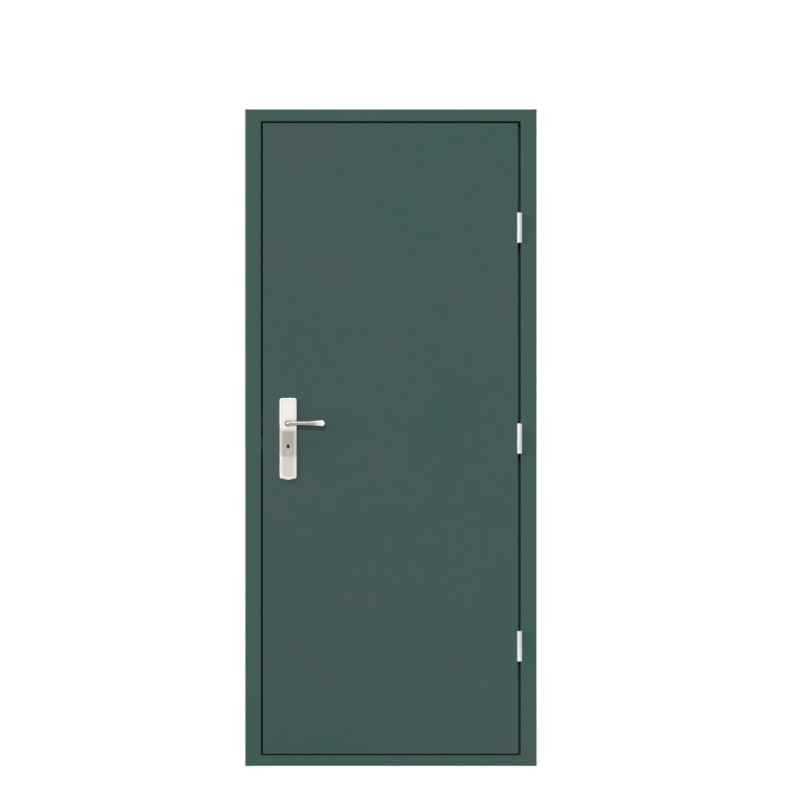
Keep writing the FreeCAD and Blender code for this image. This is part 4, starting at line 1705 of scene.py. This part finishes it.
    def lever(self, side: Side) -> None:
        """Build and fit one lever: a round neck, a smooth elbow and a grip that flares at its tip.

        Args:
            side: face of the leaf.
        """
        neck = (2 * self.neck_radius, 2 * self.neck_radius)
        straight = self.standoff - self.elbow
        sections = [self.section(side, 0.0, self.neck_gap, 0.0, 0.0, neck, self.neck_power)]
        for share in shares(self.elbow_steps):
            turn = math.pi / 2 * share
            ease = smooth(share)
            x = self.elbow * (1 - math.cos(turn))
            out = straight + self.elbow * math.sin(turn)
            size = between(neck, self.grip_size, ease)
            power = self.neck_power + (self.grip_power - self.neck_power) * ease
            sections.append(self.section(side, x, out, turn, self.grip_rise * ease, size, power))
        waist = self.reach - self.tip_round - self.elbow
        for share in shares(self.flare_steps)[1:]:
            sections.append(self.grip(side, self.elbow + waist * share, 0.0))
        for share in shares(self.tip_steps)[1:-1]:
            tip = math.sin(math.pi / 2 * share) ** (2 / self.tip_power)
            sections.append(self.grip(side, self.elbow + waist + self.tip_round * tip, tip))
        node = f"{side.word}_lever"
        self.shop.fit(Shell().loft(sections).make(f"{node}_steel"), Body.HANDLE, Slot.HANDLE_STEEL, [node])

    def build(self, cylinder: KeyCylinder) -> None:
        """Build and fit both plates and both levers, and dress the spindle.

        Args:
            cylinder: gives the cylinder's outline.
        """
        materials = self.plate_materials()
        for side in Side:
            self.plate(side, materials, cylinder)
            self.lever(side)
        self.bolts()
        self.shop.keep("spindle", Slot.ZINC_STEEL)


# The studio

@dataclass(frozen=True)
class Lamp:
    """A distant soft lamp, by the share of full light that it gives a face square to Y.

    Bare metal mirrors the lamp only where in_metal is set.
    """

    name: str
    share: float
    origin: tuple[float, float, float]
    angle: float
    in_metal: bool = True

    def build(self) -> None:
        """Make the lamp."""
        way = Vector(self.origin).normalized()
        data = bpy.data.lights.new(self.name, "SUN")
        data.energy = self.share * math.pi / abs(way.y)
        data.angle = math.radians(self.angle)
        made = bpy.data.objects.new(self.name, data)
        made.rotation_euler = way.to_track_quat("Z", "Y").to_euler()
        made.visible_glossy = self.in_metal
        bpy.context.scene.collection.objects.link(made)


@dataclass
class Studio:
    """A pale floor in a white room, with lamps from the front, the left, above and behind."""

    layout: Layout
    view_width: float = 2.4966
    view_centre: Point2 = (0.0284, 1.1425)
    distance: float = 6.0
    sensor: float = 36.0
    ambient: float = 0.12
    floor_half: float = 40.0
    floor_finish: PaleFloor = PaleFloor("pale_floor", "#C6C6C4", lift=0.68)
    lamps: tuple[Lamp, ...] = (
        Lamp("front_lamp", 0.42, (-0.08, -0.95, 0.28), 7.0, in_metal=False),
        Lamp("side_lamp", 0.20, (-0.86, -0.46, 0.18), 28.0),
        Lamp("top_lamp", 0.14, (-0.12, -0.50, 0.86), 22.0),
        Lamp("back_lamp", 0.55, (0.35, 0.70, 0.28), 60.0),
    )

    def camera(self) -> None:
        """Make the camera square to the door's front."""
        data = bpy.data.cameras.new("camera")
        data.sensor_width = self.sensor
        data.lens = self.sensor * self.distance / self.view_width
        made = bpy.data.objects.new("camera", data)
        made.location = (self.view_centre[0], self.layout.front - self.distance, self.view_centre[1])
        made.rotation_euler = (math.pi / 2, 0, 0)
        bpy.context.scene.collection.objects.link(made)
        bpy.context.scene.camera = made

    def room(self) -> None:
        """Make the white world that also fills the shadows."""
        world = bpy.data.worlds.new("room")
        world.use_nodes = True
        tree = world.node_tree
        tree.nodes.clear()
        strength = add_node(tree, "ShaderNodeMapRange", inputs={"To Min": self.ambient, "To Max": 1.0},
                            links={"Value": seen(tree)})
        glow = add_node(tree, "ShaderNodeBackground", inputs={"Color": linear_rgba("#FFFFFF")},
                        links={"Strength": strength.outputs["Result"]})
        add_node(tree, "ShaderNodeOutputWorld", links={"Surface": glow.outputs["Background"]})
        bpy.context.scene.world = world

    def floor(self) -> None:
        """Make the pale floor that keeps a soft shadow of the door."""
        half = self.floor_half
        corners = ((-half, -half), (half, -half), (half, half), (-half, half))
        shell = Shell()
        shell.cap(shell.ring(flat(corners, 0.0)))
        shell.make("floor", self.floor_finish.build())

    def build(self) -> None:
        """Make the camera, the lamps, the room and the floor."""
        self.camera()
        for lamp in self.lamps:
            lamp.build()
        self.room()
        self.floor()
        bpy.context.scene.view_settings.view_transform = "Standard"


def slot_finishes(spindle: Vector, tip_highlight_start: float = 92.0 * MM) -> dict[Slot, Material]:
    """Make the material of each finish slot.

    Args:
        spindle: middle of the levers' spindle.
        tip_highlight_start: how far along a lever the painted highlight at its tip starts.

    Returns:
        The materials by slot.
    """
    even = (9.0, 9.0, 9.0)
    finishes = {
        # Powder baked on the leaf's pans: a calm, slightly bluish grey-green with faint clouds
        Slot.LEAF_PAINT: PowderCoat("leaf_powder_coat", "#3A5450", "#415252"),
        # The same powder from another batch on the frame: a shade greener than the leaf
        Slot.FRAME_PAINT: PowderCoat("frame_powder_coat", "#3A574F", "#3F5551"),
        # Cast stainless brushed along the lever: a grey satin sheen, with its tip painted near white as a
        # painted highlight
        Slot.HANDLE_STEEL: FieldFinish(
            "satin_stainless", "#AEA8A5", roughness=0.34, grain_mm=(30.0, 2.5, 2.5), grain_dark=0.88,
            grain_depth_mm=0.003, axis="X", tones=("#F2F0EE",), levels=(spindle.x + tip_highlight_start,), edge_mm=14.0),
        # Stainless turned and satin blasted: nearly white, with a broad soft sheen along the knuckles
        Slot.HINGE_STEEL: MetalFinish(
            "turned_stainless", "#DDDEE1", roughness=0.64, grain_mm=(2.5, 2.5, 30.0)),
        # Steel strip ground lengthwise and nickel plated: pale, with long fine lines
        Slot.LOCK_STEEL: MetalFinish(
            "ground_nickel_plate", "#CDCCC8", roughness=0.32, grain_mm=(2.5, 2.5, 40.0)),
        # Bright zinc on raw steel: a bluish grey broken into small spangled clouds
        Slot.ZINC_STEEL: MetalFinish(
            "zinc_plated_steel", "#B4B9BB", roughness=0.42, grain_mm=even, grain_dark=0.62,
            grain_depth_mm=0.02, roughness_swing=0.1),
        # Machined brass under satin nickel: warm grey, a little duller than the plate round it
        Slot.CYLINDER_BRASS: MetalFinish(
            "nickel_plated_brass", "#C8C0B7", roughness=0.28, grain_mm=even, grain_dark=0.86,
            grain_depth_mm=0.005),
        # Extruded rubber: near black, with a grey bloom
        Slot.SEAL_RUBBER: SealRubber("epdm_rubber", "#171819", "#26282A"),
    }
    return {slot: finish.build() for slot, finish in finishes.items()}


def main() -> None:
    """Build the studio and every sub-assembly of the door in order."""
    logging.basicConfig(level=logging.INFO, format="%(name)s: %(message)s")
    layout = Layout.read()
    shop = Workshop(slot_finishes(layout.spindle))
    Studio(layout).build()
    DoorFrame(layout, shop).build()
    StopSeal(layout, shop).build()
    for name in ("lower", "middle", "upper"):
        Hinge(layout, shop, name).build()
    cylinder = KeyCylinder(layout, shop)
    leaf = Leaf(layout, shop)
    edge = LockEdge(layout, shop, leaf.lean)
    leaf.build(cylinder, edge)
    edge.build()
    cylinder.build()
    HandleSet(layout, shop).build(cylinder)


if __name__ == "__main__":
    main()
